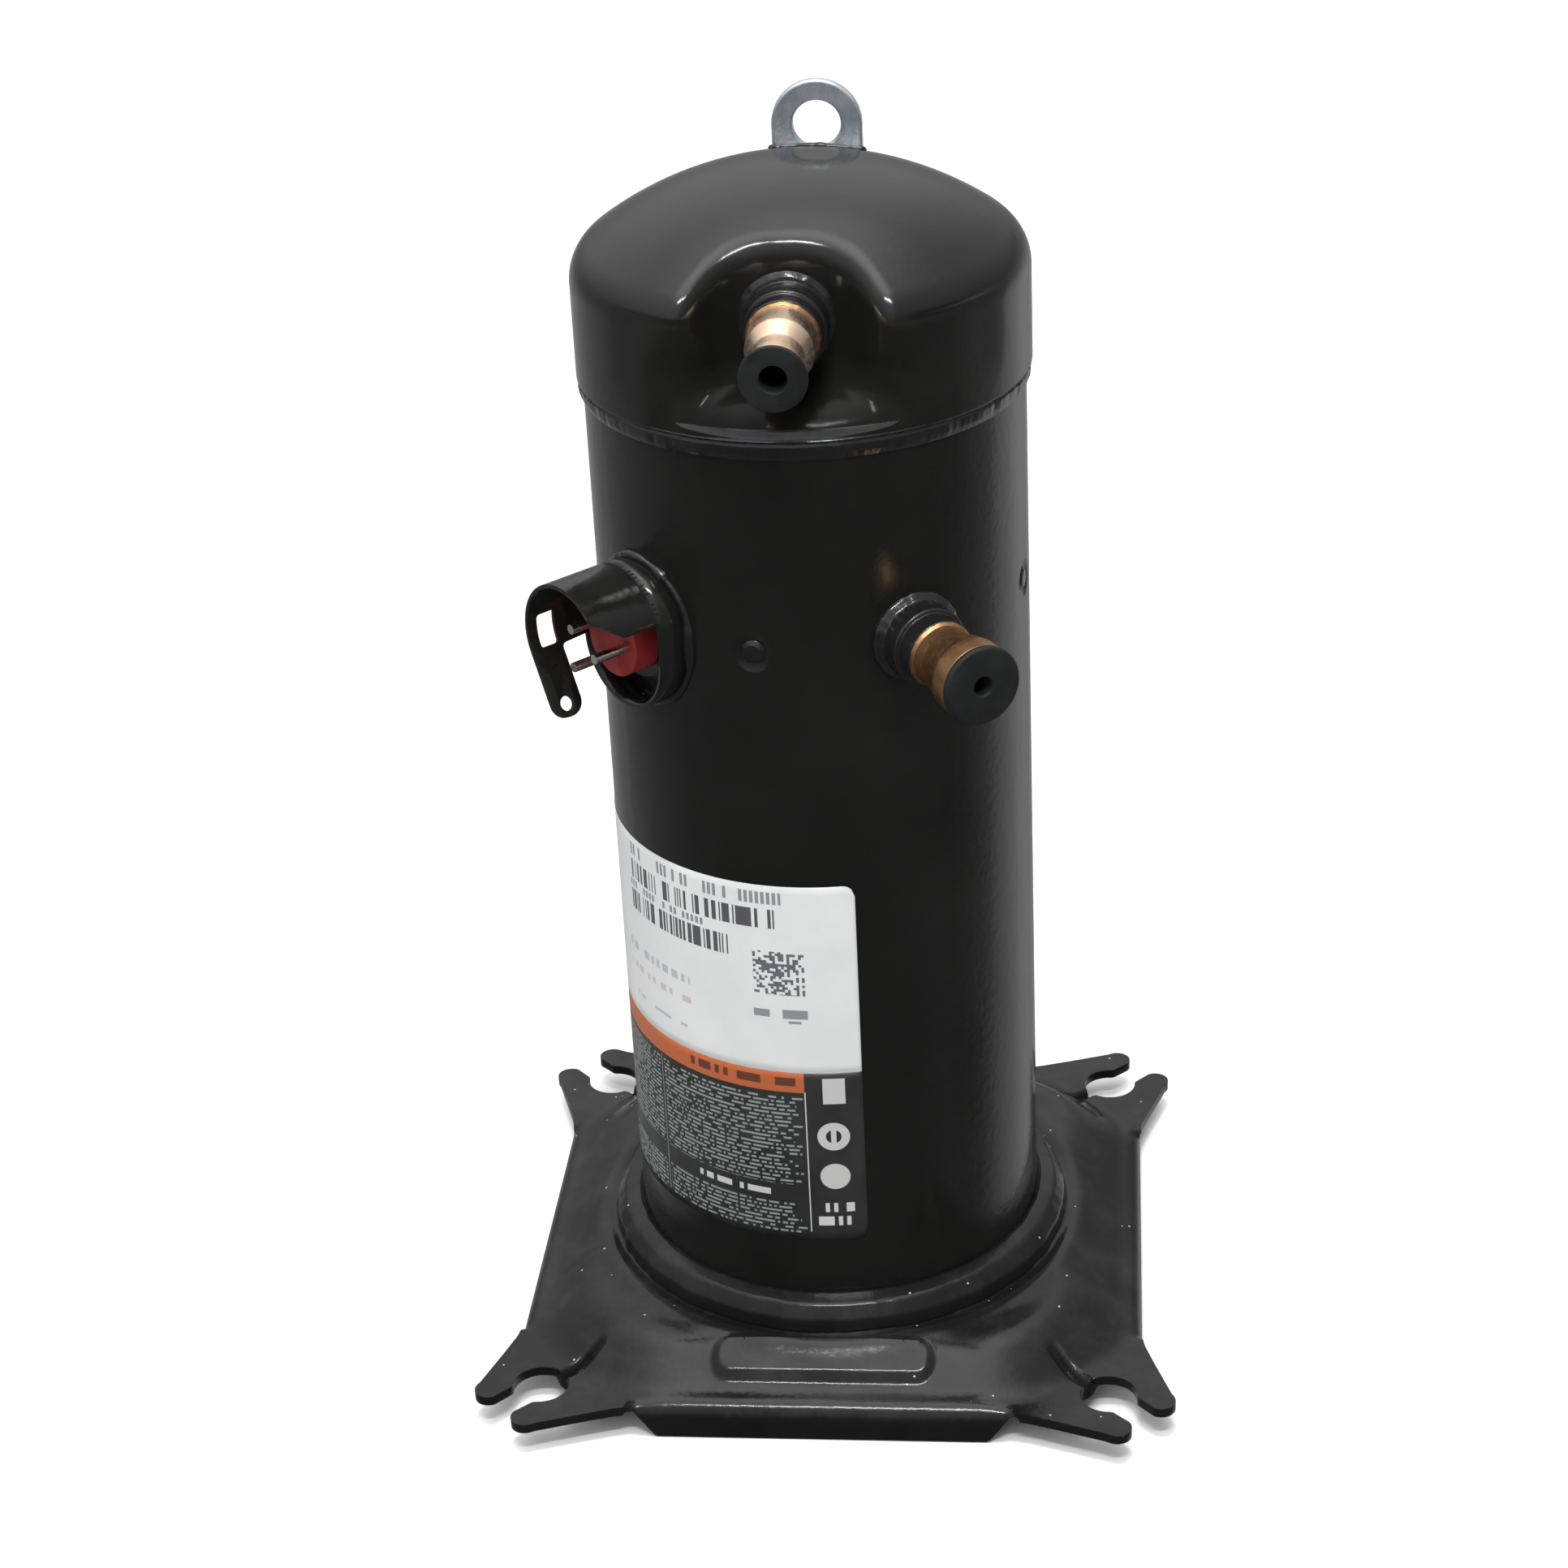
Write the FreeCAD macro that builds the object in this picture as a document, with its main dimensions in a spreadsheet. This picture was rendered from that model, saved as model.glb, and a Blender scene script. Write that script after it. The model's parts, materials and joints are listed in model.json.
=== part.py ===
import FreeCAD, Part
import Sketcher
import math
import os

# A hermetic scroll compressor: a welded steel shell on a pressed mounting plate, with the scroll pair,
# its Oldham coupling, the crankshaft and the motor inside.
# Frame: +Z up along the crankshaft, origin on that axis at the level of the mounting plate's flanges,
# -Y to the side with the discharge stub. An azimuth is counted in degrees from -Y towards +X.

SHEET = "dims"
SIZES = {
    # welded shell
    "shell_radius": 69.85,
    "shell_wall": 3.0,
    "shell_bottom": 24.0,
    "shell_top": 341.5,
    "fit_gap": 0.05,
    "lower_cap_bottom": 15.0,
    "lower_cap_rim": 45.0,
    "lower_cap_knuckle": 20.0,
    # top cap: a crown and a knuckle on a short skirt, with a pressed niche for the discharge stub
    "cap_radius": 71.8,
    "cap_wall": 1.9,
    "cap_bottom": 335.5,
    "cap_top": 405.2,
    "crown_radius": 111.5,
    "knuckle_radius": 15.0,
    "niche_back": 46.0,
    "niche_half_back": 16.0,
    "niche_side_angle": 38.7,
    "niche_floor_back": 354.2,
    "niche_floor_drop": 12.0,
    # staked dimples that hold the main bearing housing
    "dimple_azimuth": -11.0,
    "dimple_height": 271.6,
    "dimple_radius": 6.5,
    "dimple_depth": 1.6,
    # lifting eye
    "eye_half_width": 14.4,
    "eye_thickness": 3.2,
    "eye_x": 3.9,
    "eye_y": 36.0,
    "eye_foot": 392.0,
    "eye_arch_height": 406.6,
    "eye_hole_radius": 7.6,
    "eye_hole_height": 406.8,
    # mounting plate
    "bolt_spacing": 190.5,
    "bolt_hole_radius": 9.5,
    "mouth_half_width": 5.8,
    "ear_side_out": 14.6,
    "ear_side_across": 15.1,
    "ear_tip_out": 18.8,
    "ear_tip_across": 11.9,
    "ear_lip_out": 15.5,
    "ear_lip_across": 5.5,
    "web_foot_across": 107.4,
    "web_foot_along": 68.5,
    "web_middle_across": 110.8,
    "web_middle_along": 79.0,
    "plate_half": 106.6,
    "plate_sheet": 3.4,
    "plate_ear_top": 12.0,
    "plate_crown_top": 24.5,
    "plate_crown_half": 82.0,
    "plate_crown_corner": 104.0,
    "plate_slope_half": 102.0,
    "plate_slope_corner": 119.0,
    "flange_half_top": 62.0,
    "flange_half_bottom": 55.0,
    "collar_top": 34.0,
    # suction stub
    "suction_azimuth": 31.5,
    "suction_height": 273.0,
    "suction_stub_radius": 12.4,
    "suction_step_radius": 11.0,
    "suction_ring_end": 79.0,
    "suction_step_end": 86.0,
    "suction_socket_floor": 76.0,
    "suction_tube_radius": 9.9,
    "suction_mouth_radius": 12.3,
    "suction_flare_start": 92.0,
    "suction_flare_end": 102.5,
    "suction_tube_end": 109.5,
    "suction_plug_radius": 12.6,
    "suction_plug_bore": 2.9,
    "suction_plug_end": 112.0,
    "suction_plug_depth": 6.0,
    "stub_foot": 63.0,
    "weld_leg": 2.4,
    "weld_gap": 0.3,
    # discharge stub
    "discharge_height": 371.0,
    "discharge_neck_radius": 11.0,
    "discharge_bore": 7.0,
    "discharge_foot": 40.0,
    "discharge_flange_radius": 15.8,
    "discharge_flange_end": 48.6,
    "discharge_boss_radius": 12.75,
    "discharge_boss_end": 56.0,
    "discharge_step_radius": 11.75,
    "discharge_step_end": 62.0,
    "discharge_socket_floor": 52.0,
    "discharge_tube_radius": 10.5,
    "discharge_taper_start": 73.5,
    "discharge_waist_radius": 8.0,
    "discharge_waist_start": 80.0,
    "discharge_waist_end": 84.0,
    "discharge_mouth_radius": 9.4,
    "discharge_mouth_start": 88.0,
    "discharge_tube_end": 94.5,
    "discharge_plug_radius": 10.2,
    "discharge_plug_bore": 4.0,
    "discharge_plug_end": 96.0,
    "discharge_plug_depth": 5.5,
    "tube_wall": 1.15,
    "plug_gap": 0.1,
    # electrical terminal and its fence
    "terminal_azimuth": -45.0,
    "terminal_height": 271.5,
    "terminal_radius": 15.0,
    "terminal_back": 63.5,
    "terminal_front": 73.0,
    "insulator_radius": 12.0,
    "insulator_end": 82.0,
    "terminal_pin_circle": 7.5,
    "terminal_pin_radius": 1.6,
    "terminal_pin_start": 58.5,
    "terminal_pin_end": 95.0,
    "fence_height": 276.0,
    "fence_radius": 19.5,
    "fence_sheet": 1.3,
    "fence_start": 60.0,
    "fence_ring_end": 78.5,
    "fence_end": 101.0,
    "fence_drop": 9.0,
    "fence_left_cut": -8.5,
    "fence_right_cut": 5.0,
    "fence_slope_start": 91.0,
    "fence_slope_rise": 7.5,
    "window_low": -8.2,
    "window_high": 3.2,
    "window_start": 90.8,
    "window_end": 97.4,
    "tongue_angle": 206.0,
    "tongue_length": 23.0,
    "tongue_start": 89.8,
    "eyelet_radius": 2.4,
    "eyelet_reach": 18.6,
    # label on the shell
    "label_start": -102.0,
    "label_end": 12.5,
    "label_bottom": 55.0,
    "label_split": 120.5,
    "label_top": 190.0,
    "label_gap": 0.04,
    "label_sheet": 0.15,
    # scroll pair
    "orbit_radius": 4.05,
    "wrap_pitch": 15.2,
    "wrap_thickness": 3.4,
    "wrap_start_radius": 10.0,
    "wrap_height": 23.8,
    "scroll_face": 292.0,
    "axial_gap": 0.2,
    "orbiting_base_radius": 52.5,
    "orbiting_base_thickness": 8.0,
    "orbiting_hub_radius": 17.0,
    "orbiting_hub_bottom": 265.5,
    "fixed_rim_inner": 51.0,
    "fixed_rim_outer": 60.0,
    "fixed_plate_thickness": 15.0,
    "discharge_port_radius": 4.2,
    "seal_groove_inner": 17.5,
    "seal_groove_outer": 31.5,
    "seal_groove_depth": 6.0,
    # main bearing housing and its bolts
    "housing_top": 279.0,
    "housing_bottom": 262.0,
    "housing_radius": 55.0,
    "housing_hub_radius": 24.0,
    "housing_hub_bottom": 236.0,
    "housing_cavity_radius": 23.0,
    "housing_bore_radius": 15.5,
    "lobe_half_width": 12.5,
    "post_inner": 57.2,
    "bolt_circle": 61.5,
    "bolt_radius": 3.0,
    "bolt_head_radius": 4.8,
    # Oldham coupling
    "oldham_inner": 36.0,
    "oldham_outer": 47.0,
    "oldham_thickness": 4.4,
    "oldham_key_circle": 42.0,
    "oldham_key_half": 3.0,
    "oldham_key_depth": 4.0,
    # crankshaft, bearings and motor
    "journal_radius": 13.0,
    "shaft_radius": 12.9,
    "pin_radius": 8.0,
    "running_gap": 0.03,
    "drive_bush_radius": 11.9,
    "drive_bore_radius": 13.5,
    "lower_journal_radius": 8.0,
    "shaft_bottom": 46.0,
    "shaft_step": 75.0,
    "collar_radius": 18.0,
    "collar_bottom": 262.2,
    "pin_bottom": 264.8,
    "pin_top": 282.5,
    "oil_bore_radius": 2.0,
    "rotor_radius": 34.0,
    "rotor_bottom": 105.0,
    "rotor_top": 185.0,
    "end_ring_height": 8.0,
    "stator_inner": 34.4,
    "stator_bottom": 108.0,
    "stator_top": 182.0,
    "slot_count": 24,
    "slot_inner": 37.0,
    "slot_outer": 53.0,
    "slot_half_width": 2.2,
    "winding_inner": 36.5,
    "winding_outer": 60.0,
    "winding_height": 30.0,
    "lower_bracket_bottom": 54.0,
    "lower_bracket_top": 72.0,
    "lower_bracket_hub": 17.0,
    "lower_bush_radius": 10.5,
}

doc = FreeCAD.newDocument("ScrollCompressor")
sheet = doc.addObject("Spreadsheet::Sheet", SHEET)
for row, (alias, amount) in enumerate(SIZES.items(), start=1):
    sheet.set("A%d" % row, alias)
    sheet.set("B%d" % row, str(amount))
    sheet.setAlias("B%d" % row, alias)
doc.recompute()

PIECES = []
UP = FreeCAD.Vector(0, 0, 1)


# ---- helpers -------------------------------------------------------------------------------------


def size(alias):
    """A driving dimension, read from the sheet."""
    return float(sheet.get(alias))


def formula(text):
    """An expression in which every word that is an alias is read from the sheet."""
    words = []
    for word in text.split():
        words.append(SHEET + "." + word if word in SIZES else word)
    return " ".join(words)


def piece(item, name):
    """Name an object as a sub-part of the compressor, to be exported."""
    item.Label = name
    PIECES.append(item)
    return item


def aim(item, azimuth, height):
    """Turn an object whose own +Z is its axis so that the axis points outwards at an azimuth."""
    turn = FreeCAD.Rotation(UP, azimuth) * FreeCAD.Rotation(FreeCAD.Vector(1, 0, 0), 90)
    item.Placement = FreeCAD.Placement(FreeCAD.Vector(0, 0, height), turn)
    return item


def outline(body, name, role, corners):
    """A closed sketch of straight edges on one of the body's own planes, each corner held by formulas."""
    sketch = body.newObject("Sketcher::SketchObject", name)
    planes = [item for item in body.Origin.OriginFeatures if item.Role == role]
    sketch.AttachmentSupport = [(planes[0], "")]
    sketch.MapMode = "FlatFace"
    count = len(corners)
    starts = []
    for index in range(count):
        angle = 2 * math.pi * index / count
        starts.append(FreeCAD.Vector(10 * math.cos(angle), 10 * math.sin(angle), 0))
    for index in range(count):
        sketch.addGeometry(Part.LineSegment(starts[index], starts[(index + 1) % count]), False)
    for index in range(count):
        sketch.addConstraint(Sketcher.Constraint("Coincident", index, 2, (index + 1) % count, 1))
    for index, (across, along) in enumerate(corners):
        for kind, text, axis, start in (
            ("DistanceX", across, -2, starts[index].x),
            ("DistanceY", along, -1, starts[index].y),
        ):
            if text == "0":
                sketch.addConstraint(Sketcher.Constraint("PointOnObject", index, 1, axis))
            else:
                held = sketch.addConstraint(Sketcher.Constraint(kind, -1, 1, index, 1, start))
                sketch.setExpression("Constraints[%d]" % held, formula(text))
    return sketch


def turned(name, corners):
    """A body turned about its own Z axis from a profile of (radius, height) corners."""
    body = doc.addObject("PartDesign::Body", name)
    sketch = outline(body, name + "_profile", "XZ_Plane", corners)
    turning = body.newObject("PartDesign::Revolution", name + "_turning")
    turning.Profile = sketch
    turning.ReferenceAxis = (sketch, ["V_Axis"])
    turning.Angle = 360
    return body


def ring(name, inner, outer, bottom, top):
    """A plain turned ring or sleeve."""
    return turned(name, [(inner, bottom), (outer, bottom), (outer, top), (inner, top)])


def primitive(kind, name, at=("0", "0", "0"), **sizes):
    """A Part primitive whose sizes and place follow the sheet."""
    item = doc.addObject("Part::" + kind, name)
    for key, text in sizes.items():
        item.setExpression(key, formula(text))
    for axis, text in zip("xyz", at):
        if text != "0":
            item.setExpression("Placement.Base." + axis, formula(text))
    return item


def rod(name, radius, bottom, top, across="0"):
    """A cylinder along Z between two heights, its axis shifted along +X."""
    height = "( " + top + " ) - ( " + bottom + " )"
    return primitive("Cylinder", name, at=(across, "0", bottom), Radius=radius, Height=height)


def fuse(name, parts):
    item = doc.addObject("Part::MultiFuse", name)
    item.Shapes = parts
    return item


def cut(name, base, tools):
    """Take the tools away from a base object."""
    tool = tools[0] if len(tools) == 1 else fuse(name + "_tools", tools)
    item = doc.addObject("Part::Cut", name)
    item.Base = base
    item.Tool = tool
    return item


def shaped(name, shape):
    """An object whose shape is made with Part's own functions."""
    item = doc.addObject("Part::Feature", name)
    item.Shape = shape
    return item


def prism(points, bottom, top):
    """An upright prism on a closed outline of (x, y) corners."""
    corners = [FreeCAD.Vector(x, y, bottom) for x, y in points]
    face = Part.Face(Part.makePolygon(corners + corners[:1]))
    return face.extrude(FreeCAD.Vector(0, 0, top - bottom))


def block(along_low, along_high, half_width, bottom, top, angle):
    """A box that runs outwards from the axis at an angle from +X."""
    box = Part.makeBox(
        along_high - along_low,
        2 * half_width,
        top - bottom,
        FreeCAD.Vector(along_low, -half_width, bottom),
    )
    box.rotate(FreeCAD.Vector(0, 0, 0), UP, angle)
    return box


def lobe_angles():
    """Angles from +X of the four lobes of the main bearing housing."""
    return [size("dimple_azimuth") - 90 + 90 * index for index in range(4)]


# ---- shell ---------------------------------------------------------------------------------------


def dome(name, inset):
    """A closed torispherical block, turned from a skirt, a knuckle arc and a crown arc."""
    radius = size("cap_radius") - inset
    crown = size("crown_radius") - inset
    knuckle = size("knuckle_radius") - inset
    bottom = size("cap_bottom")
    centre = size("cap_top") - size("crown_radius")
    knuckle_out = radius - knuckle
    knuckle_up = centre + math.sqrt((crown - knuckle) ** 2 - knuckle_out**2)
    lean = math.atan2(knuckle_out, knuckle_up - centre)

    def on_crown(angle):
        return FreeCAD.Vector(crown * math.sin(angle), 0, centre + crown * math.cos(angle))

    def on_knuckle(angle):
        across = knuckle_out + knuckle * math.sin(angle)
        return FreeCAD.Vector(across, 0, knuckle_up + knuckle * math.cos(angle))

    foot = FreeCAD.Vector(0, 0, bottom)
    corner = FreeCAD.Vector(radius, 0, bottom)
    edges = [
        Part.LineSegment(foot, corner).toShape(),
        Part.LineSegment(corner, on_knuckle(math.pi / 2)).toShape(),
        Part.Arc(on_knuckle(math.pi / 2), on_knuckle((math.pi / 2 + lean) / 2), on_crown(lean)).toShape(),
        Part.Arc(on_crown(lean), on_crown(lean / 2), on_crown(0)).toShape(),
        Part.LineSegment(on_crown(0), foot).toShape(),
    ]
    face = Part.Face(Part.Wire(edges))
    return shaped(name, face.revolve(FreeCAD.Vector(0, 0, 0), UP, 360))


def niche(name, growth):
    """The space of the discharge niche, grown by a distance towards the inside of the cap."""
    back = size("niche_back") - growth
    side = math.radians(size("niche_side_angle"))
    mouth = size("cap_radius") + 20
    shift = growth / math.cos(math.pi / 2 - side)
    front_half = size("niche_half_back") + (mouth - size("niche_back")) / math.tan(side) + shift
    back_half = front_half - (mouth - back) / math.tan(side)
    plan = [(-back_half, -back), (back_half, -back), (front_half, -mouth), (-front_half, -mouth)]
    floor = math.radians(size("niche_floor_drop"))
    low_back = size("niche_floor_back") - growth / math.cos(floor) + growth * math.tan(floor)
    low_front = low_back - (mouth - back) * math.tan(floor)
    high = size("cap_top") + 20
    walls = prism(plan, low_front - 5, high)
    profile = [(-back, low_back), (-back, high), (-mouth, high), (-mouth, low_front)]
    corners = [FreeCAD.Vector(-100, y, z) for y, z in profile]
    slab = Part.Face(Part.makePolygon(corners + corners[:1])).extrude(FreeCAD.Vector(200, 0, 0))
    return shaped(name, walls.common(slab))


def top_cap():
    outside = dome("cap_outside", 0.0)
    inside = dome("cap_inside", size("cap_wall"))
    formed = cut("cap_formed", outside, [niche("niche_space", 0.0)])
    hollow = cut("cap_hollow", inside, [niche("niche_wall", size("cap_wall"))])
    bore = primitive(
        "Cylinder",
        "discharge_hole",
        Radius="discharge_neck_radius + fit_gap",
        Height="cap_radius",
    )
    aim(bore, 0, size("discharge_height"))
    piece(cut("top_cap_solid", formed, [hollow, bore]), "top_cap")
    return outside


def radial_hole(name, radius, azimuth, height):
    """A cylinder that crosses one side of the shell at an azimuth."""
    item = primitive("Cylinder", name, Radius=radius, Height="shell_radius + 10")
    return aim(item, size(azimuth), size(height))


def dimples():
    """Four staked dimples, pressed into the shell over the housing's lobes."""
    depth = size("dimple_depth")
    radius = size("dimple_radius")
    ball = (radius**2 + depth**2) / (2 * depth)
    reach = size("shell_radius") + ball - depth
    shapes = []
    for angle in lobe_angles():
        turn = math.radians(angle)
        centre = FreeCAD.Vector(reach * math.cos(turn), reach * math.sin(turn), size("dimple_height"))
        shapes.append(Part.makeSphere(ball, centre))
    return shaped("dimple_balls", Part.makeCompound(shapes))


def shell_tube():
    tube = ring("shell_blank", "shell_radius - shell_wall", "shell_radius", "shell_bottom", "shell_top")
    suction = radial_hole(
        "suction_hole", "suction_stub_radius + fit_gap", "suction_azimuth", "suction_height"
    )
    terminal = radial_hole(
        "terminal_hole", "terminal_radius + fit_gap", "terminal_azimuth", "terminal_height"
    )
    piece(cut("shell_tube_solid", tube, [suction, terminal, dimples()]), "shell_tube")


def lower_cap():
    """The dished bottom, pressed into the lower end of the shell."""
    dishes = []
    for name, inset in (("lower_cap_outside", 0.0), ("lower_cap_inside", size("shell_wall"))):
        radius = size("shell_radius") - size("shell_wall") - size("fit_gap") - inset
        bottom = size("lower_cap_bottom") + inset
        knuckle = size("lower_cap_knuckle") - inset
        dish = Part.makeCylinder(radius, size("lower_cap_rim") - bottom, FreeCAD.Vector(0, 0, bottom))
        rims = [edge for edge in dish.Edges if edge.BoundBox.ZMax < bottom + 0.01]
        dishes.append(shaped(name, dish.makeFillet(knuckle, rims)))
    piece(cut("lower_cap_solid", dishes[0], [dishes[1]]), "lower_cap")


def lifting_eye(cap_block):
    """A flat tab with a round top and one hole, standing on the crown of the cap."""
    body = doc.addObject("PartDesign::Body", "eye_body")
    sketch = body.newObject("Sketcher::SketchObject", "eye_outline")
    planes = [item for item in body.Origin.OriginFeatures if item.Role == "XZ_Plane"]
    sketch.AttachmentSupport = [(planes[0], "")]
    sketch.MapMode = "FlatFace"
    half = size("eye_half_width")
    foot = size("eye_foot")
    arch = size("eye_arch_height")
    low_left = FreeCAD.Vector(-half, foot, 0)
    low_right = FreeCAD.Vector(half, foot, 0)
    high_left = FreeCAD.Vector(-half, arch, 0)
    high_right = FreeCAD.Vector(half, arch, 0)
    sketch.addGeometry(Part.LineSegment(low_left, low_right), False)
    sketch.addGeometry(Part.LineSegment(low_right, high_right), False)
    circle = Part.Circle(FreeCAD.Vector(0, arch, 0), UP, half)
    sketch.addGeometry(Part.ArcOfCircle(circle, 0, math.pi), False)
    sketch.addGeometry(Part.LineSegment(high_left, low_left), False)
    hole_centre = FreeCAD.Vector(0, size("eye_hole_height"), 0)
    sketch.addGeometry(Part.Circle(hole_centre, UP, size("eye_hole_radius")), False)
    for first, first_end, second, second_end in ((0, 2, 1, 1), (1, 2, 2, 1), (2, 2, 3, 1), (3, 2, 0, 1)):
        sketch.addConstraint(Sketcher.Constraint("Coincident", first, first_end, second, second_end))
    sketch.addConstraint(Sketcher.Constraint("Horizontal", 0))
    sketch.addConstraint(Sketcher.Constraint("Vertical", 1))
    sketch.addConstraint(Sketcher.Constraint("Vertical", 3))
    sketch.addConstraint(Sketcher.Constraint("Horizontal", 2, 3, 2, 1))
    sketch.addConstraint(Sketcher.Constraint("Horizontal", 2, 3, 2, 2))
    sketch.addConstraint(Sketcher.Constraint("PointOnObject", 2, 3, -2))
    sketch.addConstraint(Sketcher.Constraint("PointOnObject", 4, 3, -2))
    for kind, where, start, text in (
        ("DistanceY", (-1, 1, 0, 1), foot, "eye_foot"),
        ("DistanceY", (-1, 1, 2, 3), arch, "eye_arch_height"),
        ("DistanceY", (-1, 1, 4, 3), size("eye_hole_height"), "eye_hole_height"),
        ("DistanceX", (-1, 1, 0, 2), half, "eye_half_width"),
        ("Radius", (4,), size("eye_hole_radius"), "eye_hole_radius"),
    ):
        held = sketch.addConstraint(Sketcher.Constraint(kind, *where, start))
        sketch.setExpression("Constraints[%d]" % held, formula(text))
    pad = body.newObject("PartDesign::Pad", "eye_pad")
    pad.Profile = sketch
    pad.Midplane = True
    pad.setExpression("Length", formula("eye_thickness"))
    body.setExpression("Placement.Base.x", formula("eye_x"))
    body.setExpression("Placement.Base.y", formula("eye_y"))
    piece(cut("lifting_eye_solid", body, [cap_block]), "lifting_eye")


# ---- mounting plate ------------------------------------------------------------------------------


def corner_edges(corner):
    """Edges of the plate's outline round one corner: two prongs with an open bolt hole between them.

    The points are (outwards along the diagonal, across it) from the bolt hole's centre.
    """
    hole = size("bolt_hole_radius")
    mouth = size("mouth_half_width")
    reach = math.sqrt(hole**2 - mouth**2)
    centre = size("bolt_spacing") / 2
    half = size("plate_half")
    diagonal = math.sqrt(0.5)

    def place(out, across, side):
        x = centre + (out + side * across) * diagonal
        y = centre + (out - side * across) * diagonal
        return FreeCAD.Vector(x, y, 0)

    def ear_side(side):
        """From the flange's end along the web to the ear's shoulder, tip and lip."""
        points = [
            (half, size("flange_half_top")),
            (size("web_foot_across"), size("web_foot_along")),
            (size("web_middle_across"), size("web_middle_along")),
        ]
        if side < 0:
            points = [(along, across) for across, along in points]
        web = [FreeCAD.Vector(x, y, 0) for x, y in points]
        web.append(place(size("ear_side_out"), size("ear_side_across"), side))
        tip = place(size("ear_tip_out"), size("ear_tip_across"), side)
        lip = place(size("ear_lip_out"), size("ear_lip_across"), side)
        throat = place(reach, mouth, side)
        line = [Part.LineSegment(a, b).toShape() for a, b in zip(web, web[1:])]
        line.append(Part.Arc(web[-1], tip, lip).toShape())
        line.append(Part.LineSegment(lip, throat).toShape())
        return line

    hole_arc = Part.Arc(place(reach, mouth, 1), place(-hole, 0, 1), place(reach, mouth, -1))
    flange_start = FreeCAD.Vector(size("flange_half_top"), half, 0)
    flange_end = FreeCAD.Vector(-size("flange_half_top"), half, 0)
    edges = ear_side(1) + [hole_arc.toShape()] + ear_side(-1)[::-1]
    edges.append(Part.LineSegment(flange_start, flange_end).toShape())
    for edge in edges:
        edge.rotate(FreeCAD.Vector(0, 0, 0), UP, 90 * corner)
    return edges


def square_corners(half, reach):
    """A square with its corners cut off at a distance from the middle, as (x, y) corners."""
    short = reach * math.sqrt(2) - half
    corners = []
    for index in range(4):
        turn = index * math.pi / 2
        for x, y in ((half, short), (short, half)):
            across = round(math.cos(turn))
            along = round(math.sin(turn))
            corners.append((x * across - y * along, x * along + y * across))
    return corners


def crown_block(drop):
    """The raised middle of the plate as a solid, lowered by a distance."""
    wires = []
    for half, reach, height in (
        ("plate_slope_half", "plate_slope_corner", "plate_ear_top"),
        ("plate_crown_half", "plate_crown_corner", "plate_crown_top"),
    ):
        plan = square_corners(size(half), size(reach))
        corners = [FreeCAD.Vector(x, y, size(height) - drop) for x, y in plan]
        wires.append(Part.makePolygon(corners + corners[:1]))
    return Part.makeLoft(wires, True, True)


def flange(side):
    """One turned-down flange, a trapezoid of sheet."""
    half = size("plate_half")
    top = size("plate_ear_top")
    upper = size("flange_half_top")
    lower = size("flange_half_bottom")
    profile = [(-upper, top), (upper, top), (lower, 0), (-lower, 0)]
    corners = [FreeCAD.Vector(x, -half, z) for x, z in profile]
    sheet_face = Part.Face(Part.makePolygon(corners + corners[:1]))
    shape = sheet_face.extrude(FreeCAD.Vector(0, size("plate_sheet"), 0))
    shape.rotate(FreeCAD.Vector(0, 0, 0), UP, 90 * side)
    return shape


def base_plate():
    """Pressed plate: flat ears, a raised square middle, four flanges and a collar round the shell."""
    top = size("plate_ear_top")
    sheet_thickness = size("plate_sheet")
    edges = []
    for corner in range(4):
        edges += corner_edges(corner)
    face = Part.Face(Part.Wire(Part.__sortEdges__(edges)))
    flat = face.extrude(FreeCAD.Vector(0, 0, sheet_thickness))
    flat.translate(FreeCAD.Vector(0, 0, top - sheet_thickness))
    formed = flat.fuse([crown_block(0)] + [flange(side) for side in range(4)])
    formed = formed.cut(crown_block(sheet_thickness))
    under = prism(
        square_corners(size("plate_slope_half"), size("plate_slope_corner")),
        -1,
        top - sheet_thickness,
    )
    shell = size("shell_radius") + 2 * size("fit_gap")
    crown = size("plate_crown_top")
    collar_top = size("collar_top")
    profile = [
        (shell, collar_top),
        (shell + 3, collar_top - 1),
        (shell + 7.5, crown + 2.5),
        (shell + 11, crown),
        (shell + 11, crown - sheet_thickness),
        (shell, crown - sheet_thickness),
    ]
    corners = [FreeCAD.Vector(radius, 0, height) for radius, height in profile]
    collar_face = Part.Face(Part.makePolygon(corners + corners[:1]))
    collar = collar_face.revolve(FreeCAD.Vector(0, 0, 0), UP, 360)
    hole = Part.makeCylinder(shell, collar_top + 2, FreeCAD.Vector(0, 0, -1))
    formed = formed.cut(under).fuse(collar).cut(hole).removeSplitter()
    piece(shaped("base_plate_solid", formed), "base_plate")


# ---- stubs, plugs and labels ---------------------------------------------------------------------


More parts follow.
